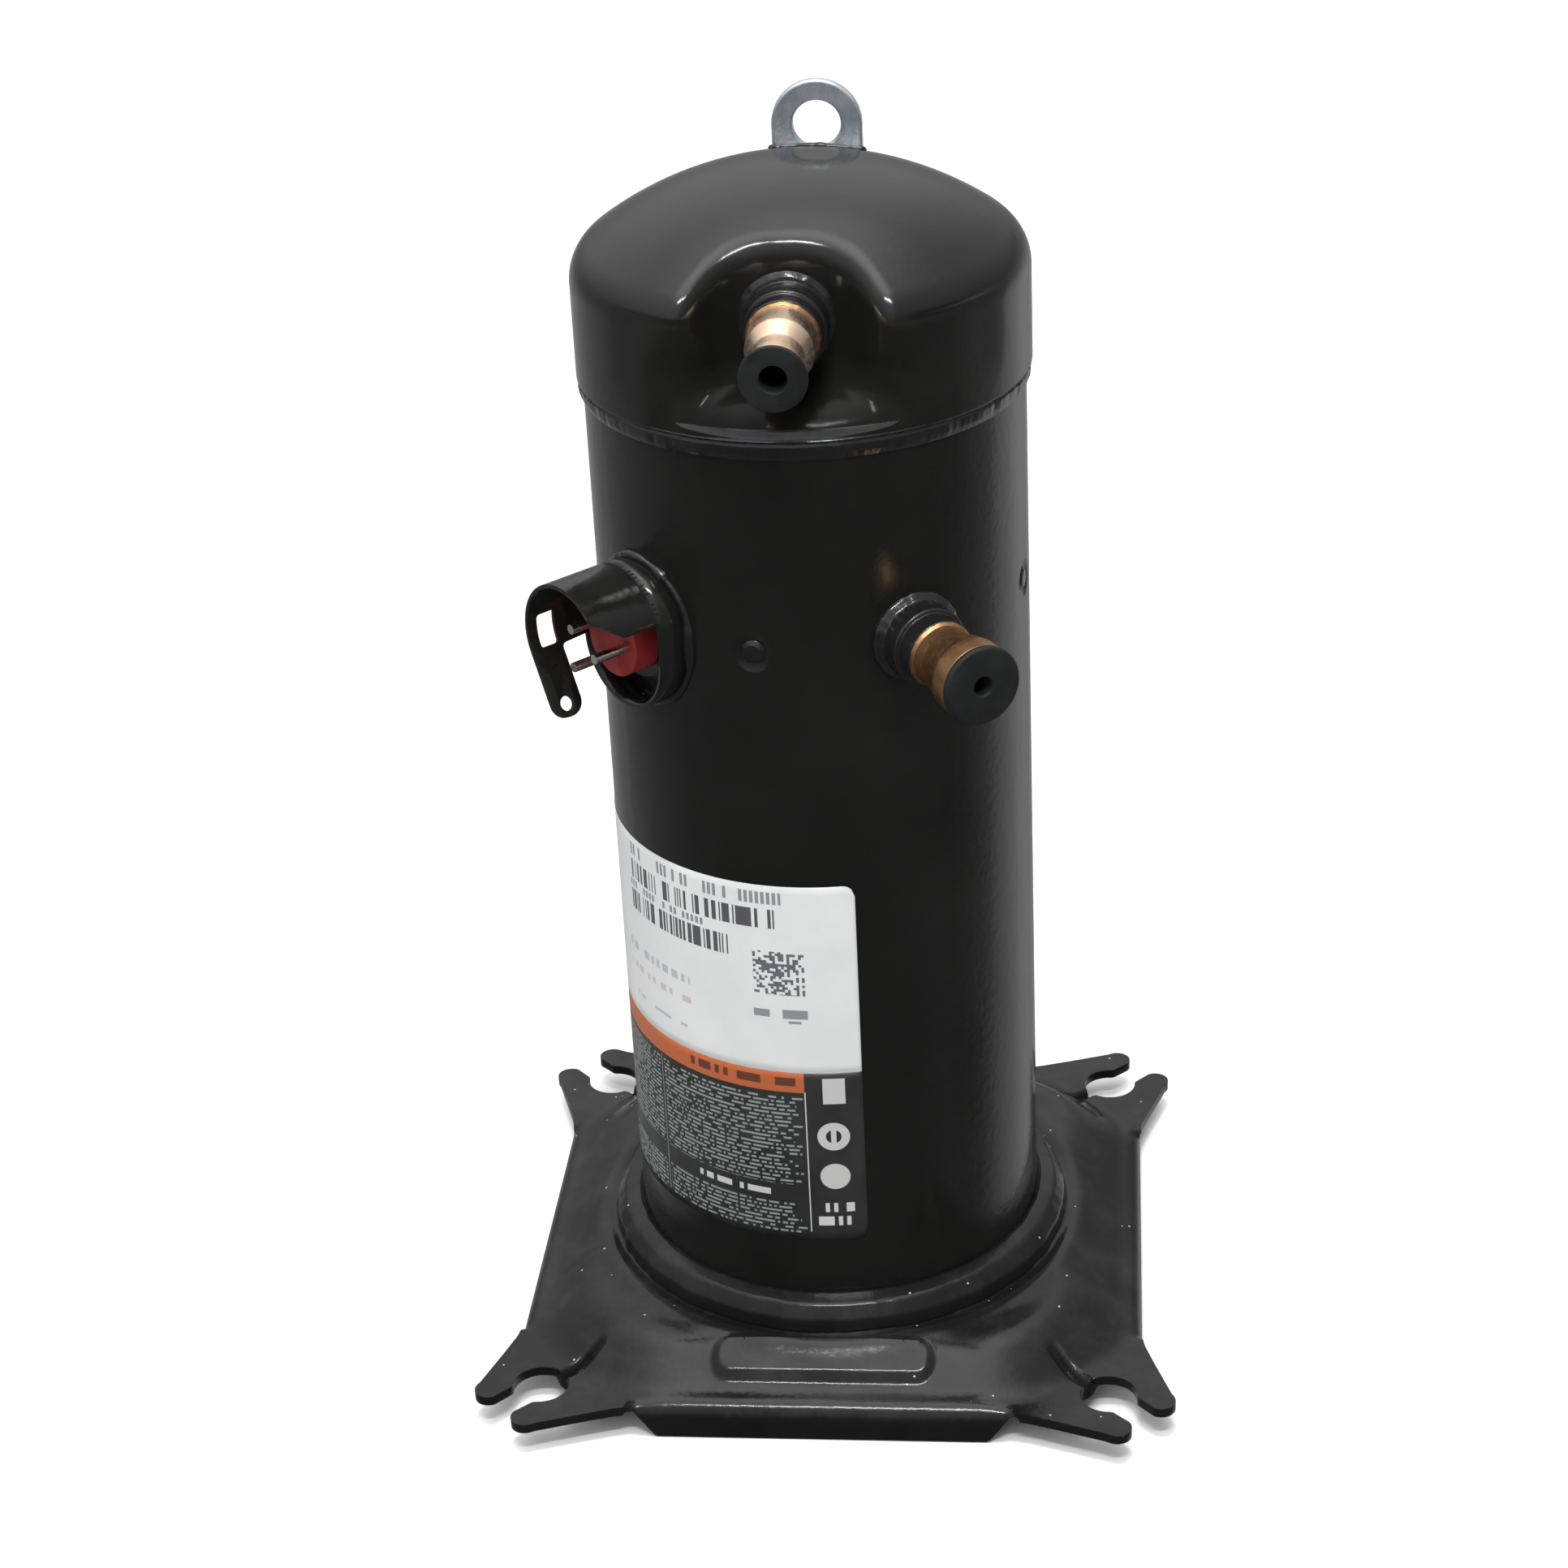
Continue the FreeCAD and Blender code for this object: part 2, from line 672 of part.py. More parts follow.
def suction_stub():
    azimuth = size("suction_azimuth")
    height = size("suction_height")
    stub = turned(
        "suction_fitting_body",
        [
            ("suction_tube_radius - tube_wall", "stub_foot"),
            ("suction_stub_radius", "stub_foot"),
            ("suction_stub_radius", "shell_radius + weld_gap"),
            ("suction_stub_radius + weld_leg", "shell_radius + weld_gap"),
            ("suction_stub_radius", "shell_radius + weld_leg"),
            ("suction_stub_radius", "suction_ring_end"),
            ("suction_step_radius", "suction_ring_end + weld_gap"),
            ("suction_step_radius", "suction_step_end"),
            ("suction_tube_radius + fit_gap", "suction_step_end"),
            ("suction_tube_radius + fit_gap", "suction_socket_floor"),
            ("suction_tube_radius - tube_wall", "suction_socket_floor"),
        ],
    )
    piece(aim(stub, azimuth, height), "suction_fitting")
    tube = turned(
        "suction_tube_body",
        [
            ("suction_tube_radius - tube_wall", "suction_socket_floor + plug_gap"),
            ("suction_tube_radius", "suction_socket_floor + plug_gap"),
            ("suction_tube_radius", "suction_flare_start"),
            ("suction_mouth_radius", "suction_flare_end"),
            ("suction_mouth_radius", "suction_tube_end"),
            ("suction_mouth_radius - tube_wall", "suction_tube_end"),
            ("suction_mouth_radius - tube_wall", "suction_flare_end"),
            ("suction_tube_radius - tube_wall", "suction_flare_start"),
        ],
    )
    piece(aim(tube, azimuth, height), "suction_tube")
    plug = turned(
        "suction_plug_body",
        [
            ("suction_plug_bore", "suction_tube_end - suction_plug_depth"),
            ("suction_mouth_radius - tube_wall - plug_gap", "suction_tube_end - suction_plug_depth"),
            ("suction_mouth_radius - tube_wall - plug_gap", "suction_tube_end + plug_gap"),
            ("suction_plug_radius", "suction_tube_end + plug_gap"),
            ("suction_plug_radius", "suction_plug_end"),
            ("suction_plug_bore", "suction_plug_end"),
        ],
    )
    piece(aim(plug, azimuth, height), "suction_plug")


def discharge_stub():
    height = size("discharge_height")
    stub = turned(
        "discharge_fitting_body",
        [
            ("discharge_bore", "discharge_foot"),
            ("discharge_neck_radius", "discharge_foot"),
            ("discharge_neck_radius", "niche_back + plug_gap"),
            ("discharge_flange_radius", "niche_back + plug_gap"),
            ("discharge_flange_radius", "discharge_flange_end"),
            ("discharge_boss_radius", "discharge_flange_end + weld_gap"),
            ("discharge_boss_radius", "discharge_boss_end"),
            ("discharge_step_radius", "discharge_boss_end + weld_gap"),
            ("discharge_step_radius", "discharge_step_end"),
            ("discharge_tube_radius + fit_gap", "discharge_step_end"),
            ("discharge_tube_radius + fit_gap", "discharge_socket_floor"),
            ("discharge_bore", "discharge_socket_floor"),
        ],
    )
    piece(aim(stub, 0, height), "discharge_fitting")
    tube = turned(
        "discharge_tube_body",
        [
            ("discharge_tube_radius - tube_wall", "discharge_socket_floor + plug_gap"),
            ("discharge_tube_radius", "discharge_socket_floor + plug_gap"),
            ("discharge_tube_radius", "discharge_taper_start"),
            ("discharge_waist_radius", "discharge_waist_start"),
            ("discharge_waist_radius", "discharge_waist_end"),
            ("discharge_mouth_radius", "discharge_mouth_start"),
            ("discharge_mouth_radius", "discharge_tube_end"),
            ("discharge_mouth_radius - tube_wall", "discharge_tube_end"),
            ("discharge_mouth_radius - tube_wall", "discharge_mouth_start"),
            ("discharge_waist_radius - tube_wall", "discharge_waist_end"),
            ("discharge_waist_radius - tube_wall", "discharge_waist_start"),
            ("discharge_tube_radius - tube_wall", "discharge_taper_start"),
        ],
    )
    piece(aim(tube, 0, height), "discharge_tube")
    plug = turned(
        "discharge_plug_body",
        [
            ("discharge_plug_bore", "discharge_tube_end - discharge_plug_depth"),
            ("discharge_mouth_radius - tube_wall - plug_gap", "discharge_tube_end - discharge_plug_depth"),
            ("discharge_mouth_radius - tube_wall - plug_gap", "discharge_tube_end + plug_gap"),
            ("discharge_plug_radius", "discharge_tube_end + plug_gap"),
            ("discharge_plug_radius", "discharge_plug_end"),
            ("discharge_plug_bore", "discharge_plug_end"),
        ],
    )
    piece(aim(plug, 0, height), "discharge_plug")


def label(name, bottom, top):
    """A thin sheet wrapped round part of the shell."""
    outside = "shell_radius + label_gap + label_sheet"
    band = primitive(
        "Cylinder",
        name + "_band",
        Radius=outside,
        Height=top + " - " + bottom,
        Angle="label_end - label_start",
    )
    turn = FreeCAD.Rotation(UP, size("label_start") - 90)
    band.Placement = FreeCAD.Placement(FreeCAD.Vector(0, 0, size(bottom)), turn)
    core = rod(name + "_core", "shell_radius + label_gap", bottom, top)
    piece(cut(name + "_sheet", band, [core]), name)


# ---- electrical terminal -------------------------------------------------------------------------


def pin_places():
    """Places of the three terminal pins in the terminal's own plane."""
    reach = size("terminal_pin_circle")
    angles = [math.radians(120 * index) for index in range(3)]
    return [FreeCAD.Vector(reach * math.cos(a), reach * math.sin(a), 0) for a in angles]


def pin_set(radius, low, high):
    """Three parallel pins along the terminal's own axis."""
    pins = []
    for place in pin_places():
        foot = FreeCAD.Vector(place.x, place.y, low)
        pins.append(Part.makeCylinder(radius, high - low, foot))
    return pins


def terminal():
    azimuth = size("terminal_azimuth")
    height = size("terminal_height")
    start = size("terminal_pin_start")
    end = size("terminal_pin_end")
    back = size("terminal_back")
    front = size("terminal_front")
    face = front + size("plug_gap")
    holes = pin_set(size("terminal_pin_radius") + size("fit_gap"), start - 1, end + 1)
    body = Part.makeCylinder(size("terminal_radius"), front - back, FreeCAD.Vector(0, 0, back))
    body = body.cut(holes)
    piece(aim(shaped("terminal_body_solid", body), azimuth, height), "terminal_body")
    depth = size("insulator_end") - face
    core = Part.makeCylinder(size("insulator_radius"), depth, FreeCAD.Vector(0, 0, face))
    core = core.cut(holes)
    piece(aim(shaped("terminal_insulator_solid", core), azimuth, height), "terminal_insulator")
    pins = Part.makeCompound(pin_set(size("terminal_pin_radius"), start, end))
    piece(aim(shaped("terminal_pins_solid", pins), azimuth, height), "terminal_pins")


def long_round(radius, low, high):
    """Two half discs a drop apart joined by straight sides, as a solid along the terminal's axis."""
    drop = size("fence_drop")
    upper = Part.makeCylinder(radius, high - low, FreeCAD.Vector(0, 0, low))
    under = Part.makeCylinder(radius, high - low, FreeCAD.Vector(0, -drop, low))
    middle = Part.makeBox(2 * radius, drop, high - low, FreeCAD.Vector(-radius, -drop, low))
    return upper.fuse([under, middle]).removeSplitter()


def terminal_fence():
    """A sheet guard round the pins: a full ring at the shell, and a long hood with a window and a tongue."""
    radius = size("fence_radius")
    thickness = size("fence_sheet")
    start = size("fence_start")
    ring_end = size("fence_ring_end")
    end = size("fence_end")
    past = radius + thickness
    ring_wall = long_round(radius, start, ring_end)
    ring_wall = ring_wall.cut(long_round(radius - thickness, start - 1, ring_end + 1))
    shell_radius = size("shell_radius") + size("fit_gap")
    shell_foot = FreeCAD.Vector(0, -2 * past, 0)
    shell = Part.makeCylinder(shell_radius, 4 * past, shell_foot, FreeCAD.Vector(0, 1, 0))
    ring_wall = ring_wall.cut(shell)
    depth = end - ring_end
    below_start = ring_end - 1
    hood = Part.makeCylinder(radius, depth, FreeCAD.Vector(0, 0, ring_end))
    hood = hood.cut(Part.makeCylinder(radius - thickness, depth + 2, FreeCAD.Vector(0, 0, below_start)))
    below_corner = FreeCAD.Vector(-past, size("fence_left_cut") - past, below_start)
    below = Part.makeBox(past, past, depth + 2, below_corner)
    right = size("fence_right_cut")
    slope = [
        (below_start, -past),
        (below_start, right),
        (size("fence_slope_start"), right),
        (end + 1, right + size("fence_slope_rise")),
        (end + 1, -past),
    ]
    corners = [FreeCAD.Vector(0, y, z) for z, y in slope]
    beside = Part.Face(Part.makePolygon(corners + corners[:1])).extrude(FreeCAD.Vector(past, 0, 0))
    window_base = FreeCAD.Vector(-past, size("window_low"), size("window_start"))
    window_height = size("window_high") - size("window_low")
    window = Part.makeBox(past / 2, window_height, size("window_end") - size("window_start"), window_base)
    hood = hood.cut([below, beside, window])
    turn = size("tongue_angle") - 90
    length = size("tongue_length")
    width = end - size("tongue_start")
    tongue_corner = FreeCAD.Vector(-length, radius - thickness, size("tongue_start"))
    tongue = Part.makeBox(length, thickness, width, tongue_corner)
    eyelet_base = FreeCAD.Vector(-size("eyelet_reach"), radius + 1, size("tongue_start") + width / 2)
    eyelet = Part.makeCylinder(size("eyelet_radius"), thickness + 2, eyelet_base, FreeCAD.Vector(0, -1, 0))
    tongue = tongue.cut(eyelet)
    tongue.rotate(FreeCAD.Vector(0, 0, 0), UP, turn)
    cup = ring_wall.fuse([hood, tongue])
    fence = aim(shaped("terminal_fence_solid", cup), size("terminal_azimuth"), size("fence_height"))
    piece(fence, "terminal_fence")


# ---- scroll pair ---------------------------------------------------------------------------------


def wrap(bottom, top, turn, centre_x, centre_y):
    """A scroll wrap: half rings of growing radius, their centres alternating a quarter pitch off."""
    pitch = size("wrap_pitch")
    half = size("wrap_thickness") / 2
    origin = FreeCAD.Vector(0, 0, 0)
    rings = []
    for index in range(5):
        radius = size("wrap_start_radius") + index * pitch / 2
        side = -1 if index % 2 == 0 else 1
        foot = FreeCAD.Vector(side * pitch / 4, 0, bottom)
        outer = Part.makeCylinder(radius + half, top - bottom, foot, UP, 180)
        inner = Part.makeCylinder(radius - half, top - bottom, foot, UP, 180)
        band = outer.cut(inner)
        if side < 0:
            band.rotate(foot, UP, 180)
        rings.append(band)
    shape = rings[0].fuse(rings[1:]).removeSplitter()
    shape.rotate(origin, UP, turn)
    shape.translate(FreeCAD.Vector(centre_x, centre_y, 0))
    return shape


def upright(radius, bottom, top, x=0.0, y=0.0):
    return Part.makeCylinder(radius, top - bottom, FreeCAD.Vector(x, y, bottom))


def bolt_rods(radius, bottom, top):
    rods = []
    for angle in lobe_angles():
        turn = math.radians(angle)
        reach = size("bolt_circle")
        rods.append(upright(radius, bottom, top, reach * math.cos(turn), reach * math.sin(turn)))
    return rods


def lobes(inner, bottom, top):
    """Four outward lobes that reach the shell's inner wall."""
    limit = size("shell_radius") - size("shell_wall") - 2 * size("fit_gap")
    outer = upright(limit, bottom, top)
    blocks = [block(inner, 80, size("lobe_half_width"), bottom, top, angle) for angle in lobe_angles()]
    return [item.common(outer) for item in blocks]


def scroll_turn():
    """The wraps' outer ends lie at the suction stub's azimuth."""
    return size("suction_azimuth") - 90


def fixed_scroll():
    face = size("scroll_face") + size("axial_gap")
    floor = size("scroll_face") + size("axial_gap") + size("wrap_height")
    top = floor + size("fixed_plate_thickness")
    plate = upright(size("fixed_rim_outer"), face, top)
    bowl = upright(size("fixed_rim_inner"), face - 1, floor)
    body = plate.cut(bowl).fuse(lobes(size("post_inner"), face, top))
    body = body.fuse(wrap(face, floor + 1, scroll_turn(), 0, 0))
    groove = upright(size("seal_groove_outer"), top - size("seal_groove_depth"), top + 1)
    groove = groove.cut(upright(size("seal_groove_inner"), face, top + 2))
    port = upright(size("discharge_port_radius"), face - 1, top + 1)
    valve_seat = upright(9.5, top - 4, top + 1)
    inlets = [
        block(size("fixed_rim_inner") - 3, 64, 9, face + 4, floor, scroll_turn() + turn)
        for turn in (0, 180)
    ]
    body = body.cut([groove, port, valve_seat] + inlets + bolt_rods(size("bolt_radius"), face - 1, top + 1))
    piece(shaped("fixed_scroll_solid", body.removeSplitter()), "fixed_scroll")
    return top


def orbiting_scroll():
    """Base, wrap and drive hub, standing one orbit radius from the axis along +X."""
    shift = size("orbit_radius")
    face = size("scroll_face")
    bottom = face - size("orbiting_base_thickness")
    base = upright(size("orbiting_base_radius"), bottom, face, shift)
    hub = upright(size("orbiting_hub_radius"), size("orbiting_hub_bottom"), bottom + 1, shift)
    spiral = wrap(face - 1, face + size("wrap_height"), scroll_turn() + 180, shift, 0)
    bore = upright(size("drive_bore_radius"), size("orbiting_hub_bottom") - 1, bottom, shift)
    key = size("oldham_key_half")
    reach = 2 * shift + 0.2
    depth = size("oldham_key_depth") + 0.2
    pockets = []
    for angle in (0, 180):
        pocket = block(
            size("oldham_key_circle") - key - shift - 0.3,
            size("oldham_key_circle") + key + shift + 0.3,
            key + reach,
            bottom - 1,
            bottom + depth,
            angle,
        )
        pocket.translate(FreeCAD.Vector(shift, 0, 0))
        pockets.append(pocket)
    body = base.fuse([hub, spiral]).cut([bore] + pockets)
    piece(shaped("orbiting_scroll_solid", body.removeSplitter()), "orbiting_scroll")


def oldham_ring():
    """A flat ring with two keys up into the orbiting scroll and two down into the housing."""
    key = size("oldham_key_half")
    circle = size("oldham_key_circle")
    depth = size("oldham_key_depth")
    low = size("housing_top") + size("axial_gap")
    high = low + size("oldham_thickness")
    flat = upright(size("oldham_outer"), low, high).cut(upright(size("oldham_inner"), low - 1, high + 1))
    upper = [block(circle - key, circle + key, key, high - 1, high + depth, angle) for angle in (0, 180)]
    lower = [block(circle - key, circle + key, key, low - depth, low + 1, angle) for angle in (90, 270)]
    body = flat.fuse(upper + lower).removeSplitter()
    piece(shaped("oldham_ring_solid", body), "oldham_ring")


def main_bearing_housing():
    top = size("housing_top")
    bottom = size("housing_bottom")
    face = size("scroll_face") + size("axial_gap")
    shift = size("orbit_radius")
    disc = upright(size("housing_radius"), bottom, top)
    hub = upright(size("housing_hub_radius"), size("housing_hub_bottom"), bottom + 1)
    body = disc.fuse([hub] + lobes(40, bottom, top) + lobes(size("post_inner"), top - 1, face))
    cavity = upright(size("housing_cavity_radius"), bottom, top + 1)
    bore = upright(size("housing_bore_radius"), size("housing_hub_bottom") - 1, bottom + 1)
    key = size("oldham_key_half")
    circle = size("oldham_key_circle")
    depth = size("oldham_key_depth") + 0.3
    slots = []
    for angle in (90, 270):
        low = circle - key - shift - 0.3
        high = circle + key + shift + 0.3
        slots.append(block(low, high, key + size("fit_gap"), top - depth, top + 1, angle))
    holes = bolt_rods(size("bolt_radius"), top - 9, face + 1)
    body = body.cut([cavity, bore] + slots + holes)
    piece(shaped("main_bearing_housing_solid", body.removeSplitter()), "main_bearing_housing")


def scroll_bolts(plate_top):
    """Four hexagon bolts that clamp the fixed scroll to the housing's posts."""
    shanks = bolt_rods(size("bolt_radius") - size("fit_gap"), size("housing_top") - 8.8, plate_top)
    bolts = []
    for shank, angle in zip(shanks, lobe_angles()):
        turn = math.radians(angle)
        reach = size("bolt_circle")
        centre = FreeCAD.Vector(reach * math.cos(turn), reach * math.sin(turn), plate_top)
        corners = []
        for index in range(6):
            corner = math.radians(60 * index) + turn + math.radians(30)
            step = FreeCAD.Vector(math.cos(corner), math.sin(corner), 0)
            corners.append(centre + step * size("bolt_head_radius"))
        head = Part.Face(Part.makePolygon(corners + corners[:1])).extrude(FreeCAD.Vector(0, 0, 5))
        bolts.append(shank.fuse(head).removeSplitter())
    piece(shaped("scroll_bolts_solid", Part.makeCompound(bolts)), "scroll_bolts")


def muffler_plate():
    """The plate between the suction and discharge sides, seated on top of the shell."""
    plate = turned(
        "muffler_plate_blank",
        [
            ("14", "346"),
            ("17.3", "346"),
            ("17.3", "350"),
            ("38.5", "350"),
            ("57", "shell_top + 0.1"),
            ("cap_radius - cap_wall - 0.1", "shell_top + 0.1"),
            ("cap_radius - cap_wall - 0.1", "shell_top + 3.1"),
            ("58", "shell_top + 3.1"),
            ("39.5", "353.4"),
            ("18", "357"),
            ("14", "357"),
        ],
    )
    hole = rod("relief_hole", "3.45", "340", "370")
    hole.Placement.Base.y = 36
    piece(cut("muffler_plate_solid", plate, [hole]), "muffler_plate")
    stem = upright(3.4, 347, 357.3, 0, 36)
    corners = []
    for index in range(6):
        turn = math.radians(60 * index)
        corners.append((7 * math.cos(turn), 36 + 7 * math.sin(turn)))
    head = prism(corners, 357.2, 366)
    valve = stem.fuse(head).removeSplitter()
    piece(shaped("pressure_relief_valve_solid", valve), "pressure_relief_valve")


def seals_and_valve():
    """Floating seal, discharge check valve and its retainer, all on the fixed scroll's top."""
    piece(
        turned(
            "floating_seal_body",
            [
                ("18", "325.2"),
                ("31", "325.2"),
                ("31", "341"),
                ("22.5", "341"),
                ("22.5", "348.3"),
                ("19.5", "348.3"),
                ("19.5", "341"),
                ("18", "341"),
            ],
        ),
        "floating_seal",
    )
    piece(rod("check_valve_disc_solid", "8.5", "327.05", "328.05"), "check_valve_disc")
    piece(ring("valve_retainer_body", "5", "9.45", "330.2", "331"), "valve_retainer")


# ---- shaft, bearings and motor -------------------------------------------------------------------


def crankshaft():
    solid = fuse(
        "crankshaft_blank",
        [
            rod("lower_journal", "lower_journal_radius", "shaft_bottom", "shaft_step + 1"),
            rod("shaft_middle", "shaft_radius", "shaft_step", "housing_hub_bottom"),
            rod("main_journal", "journal_radius", "housing_hub_bottom - 1", "collar_bottom + 1"),
            rod("shaft_collar", "collar_radius", "collar_bottom", "pin_bottom"),
            rod("crank_pin", "pin_radius", "pin_bottom - 1", "pin_top", "orbit_radius"),
        ],
    )
    bore = rod("oil_bore", "oil_bore_radius", "shaft_bottom - 1", "pin_top + 1", "2")
    piece(cut("crankshaft_solid", solid, [bore]), "crankshaft")
    pickup = turned(
        "oil_pickup_body",
        [
            ("2", "23"),
            ("3.4", "23"),
            ("6.5", "34"),
            ("6.5", "shaft_bottom - 0.05"),
            ("2", "shaft_bottom - 0.05"),
        ],
    )
    piece(pickup, "oil_pickup")


def offset_ring(name, inner, outer, bottom, top):
    """A sleeve on the crank pin's axis."""
    item = ring(name + "_body", inner, outer, bottom, top)
    item.setExpression("Placement.Base.x", formula("orbit_radius"))
    return piece(item, name)


def bearings():
    offset_ring("drive_bushing", "pin_radius + running_gap", "drive_bush_radius", "pin_bottom + 0.2", "282")
    offset_ring(
        "drive_bearing",
        "drive_bush_radius + running_gap",
        "drive_bore_radius - 0.02",
        "orbiting_hub_bottom + 0.3",
        "283",
    )
    main = ring(
        "main_bearing_body",
        "journal_radius + running_gap",
        "housing_bore_radius - 0.02",
        "housing_hub_bottom + 1",
        "housing_bottom - 0.5",
    )
    piece(main, "main_bearing")
    lower = ring(
        "lower_bearing_body",
        "lower_journal_radius + running_gap",
        "lower_bush_radius - 0.02",
        "lower_bracket_bottom + 1",
        "lower_bracket_top",
    )
    piece(lower, "lower_bearing")
    washer = ring(
        "lower_thrust_washer_body",
        "lower_journal_radius + 0.1",
        "14",
        "lower_bracket_top + 0.05",
        "shaft_step - 0.1",
    )
    piece(washer, "lower_thrust_washer")
    thrust = ring(
        "thrust_plate_body",
        "housing_cavity_radius + 0.5",
        "oldham_inner - 4.5",
        "housing_top",
        "scroll_face - orbiting_base_thickness - 0.1",
    )
    piece(thrust, "thrust_plate")


def lower_bearing_bracket():
    """A hub on three arms, each with a foot against the shell's inner wall."""
    bottom = size("lower_bracket_bottom")
    top = size("lower_bracket_top")
    limit = size("shell_radius") - size("shell_wall") - 2 * size("fit_gap")
    body = upright(size("lower_bracket_hub"), bottom, top)
    for angle in (30, 150, 270):
        arm = block(10, limit + 2, 7, bottom + 4, bottom + 12, angle)
        foot = block(limit - 5, limit + 2, 13, bottom - 2, top, angle)
        body = body.fuse([arm, foot])
    body = body.common(upright(limit, bottom - 5, top + 5))
    body = body.cut(upright(size("lower_bush_radius"), bottom - 1, top + 1)).removeSplitter()
    piece(shaped("lower_bearing_bracket_solid", body), "lower_bearing_bracket")


def rotor():
    piece(
        ring("rotor_core_body", "shaft_radius + fit_gap", "rotor_radius", "rotor_bottom", "rotor_top"),
        "rotor_core",
    )
    height = size("end_ring_height")
    rings = []
    for low in (size("rotor_bottom") - height, size("rotor_top")):
        rings.append(upright(32.5, low, low + height).cut(upright(20, low - 1, low + height + 1)))
    piece(shaped("rotor_end_rings_solid", Part.makeCompound(rings)), "rotor_end_rings")
    upper = size("rotor_top") + height
    lower = size("rotor_bottom") - height
    for name, bottom, top, start in (
        ("upper_counterweight", upper, upper + 28, 90),
        ("lower_counterweight", lower - 13, lower, 270),
    ):
        foot = FreeCAD.Vector(0, 0, bottom)
        half = Part.makeCylinder(32.0, top - bottom, foot, UP, 180)
        half.rotate(foot, UP, start)
        weight = half.cut(upright(size("shaft_radius") + size("fit_gap"), bottom - 1, top + 1))
        piece(shaped(name + "_solid", weight), name)


def slot_boxes(inner, outer, half_width, bottom, top):
    count = int(size("slot_count"))
    return [block(inner, outer, half_width, bottom, top, 360 * index / count) for index in range(count)]


def stator():
    bottom = size("stator_bottom")
    top = size("stator_top")
    limit = size("shell_radius") - size("shell_wall") - 2 * size("fit_gap")
    core = upright(limit, bottom, top).cut(upright(size("stator_inner"), bottom - 1, top + 1))
    slots = slot_boxes(
        size("slot_inner"), size("slot_outer"), size("slot_half_width"), bottom - 1, top + 1
    )
    mouths = slot_boxes(size("stator_inner") - 1, size("slot_inner") + 1, 0.9, bottom - 1, top + 1)
    flats = [block(limit - 2.5, limit + 5, 11, bottom - 1, top + 1, 45 + 90 * index) for index in range(4)]
    piece(shaped("stator_core_solid", core.cut(slots + mouths + flats)), "stator_core")
    height = size("winding_height")
    inner = size("winding_inner")
    outer = size("winding_outer")
    gap = 0.2
    coils = []
    for low in (bottom - gap - height, top + gap):
        profile = [
            (inner, low + 4), (inner + 4, low), (outer - 6, low), (outer, low + 6),
            (outer, low + height - 6), (outer - 6, low + height),
            (inner + 4, low + height), (inner, low + height - 4),
        ]
        corners = [FreeCAD.Vector(radius, 0, level) for radius, level in profile]
        face = Part.Face(Part.makePolygon(corners + corners[:1]))
        coils.append(face.revolve(FreeCAD.Vector(0, 0, 0), UP, 360))
    bars = slot_boxes(
        size("slot_inner") + 3.2,
        size("slot_outer") - gap,
        size("slot_half_width") - gap,
        bottom - 1,
        top + 1,
    )
    windings = coils[0].fuse([coils[1]] + bars)
    piece(shaped("stator_windings_solid", windings), "stator_windings")
    winding_top = top + gap + height
    protector = block(42, 53, 9, winding_top + 0.05, winding_top + 9, 60)
    piece(shaped("motor_protector_solid", protector), "motor_protector")


def suction_baffle():
    """A curved deflector on the housing's rim, facing the suction stub."""
    low = size("housing_radius") + size("fit_gap")
    sweep = 50.0
    foot = FreeCAD.Vector(0, 0, 255)
    sector = Part.makeCylinder(low + 1.4, 27, foot, UP, sweep)
    sector.rotate(foot, UP, size("suction_azimuth") - 90 - sweep / 2)
    piece(shaped("suction_baffle_solid", sector.cut(upright(low, 250, 290))), "suction_baffle")


# ---- build ---------------------------------------------------------------------------------------


def build():
    base_plate()
    lower_cap()
    shell_tube()
    cap_block = top_cap()
    lifting_eye(cap_block)
    suction_stub()
    discharge_stub()
    label("rating_label", "label_split", "label_top")
    label("notice_label", "label_bottom", "label_split")
    terminal()
    terminal_fence()
    plate_top = fixed_scroll()
    orbiting_scroll()
    oldham_ring()
    main_bearing_housing()
    scroll_bolts(plate_top)
    muffler_plate()
    seals_and_valve()
    crankshaft()
    bearings()
    lower_bearing_bracket()
    rotor()
    stator()
    suction_baffle()


def check():
    """Stop before anything is written if an object failed or a sub-part's shape is bad."""
    for item in doc.Objects:
        if "Invalid" in item.State or "Error" in item.State:
            raise RuntimeError(item.Name + " did not recompute")
    for item in PIECES:
        if item.Shape.isNull() or not item.Shape.isValid() or not item.Shape.Solids:
            raise RuntimeError(item.Label + " has no valid solid")


build()
doc.recompute()
check()
os.makedirs("parts", exist_ok=True)
for item in PIECES:
    item.Shape.exportStep(os.path.join("parts", item.Label + ".step"))
print(len(PIECES), "pieces")
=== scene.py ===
"""Looks of the scroll compressor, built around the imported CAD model.

Shapes are worked out in millimetres in the row frame and turned into metres when a mesh is made.
"""

import json
import math

import bmesh
import bpy
import numpy as np
from mathutils import Matrix, Vector


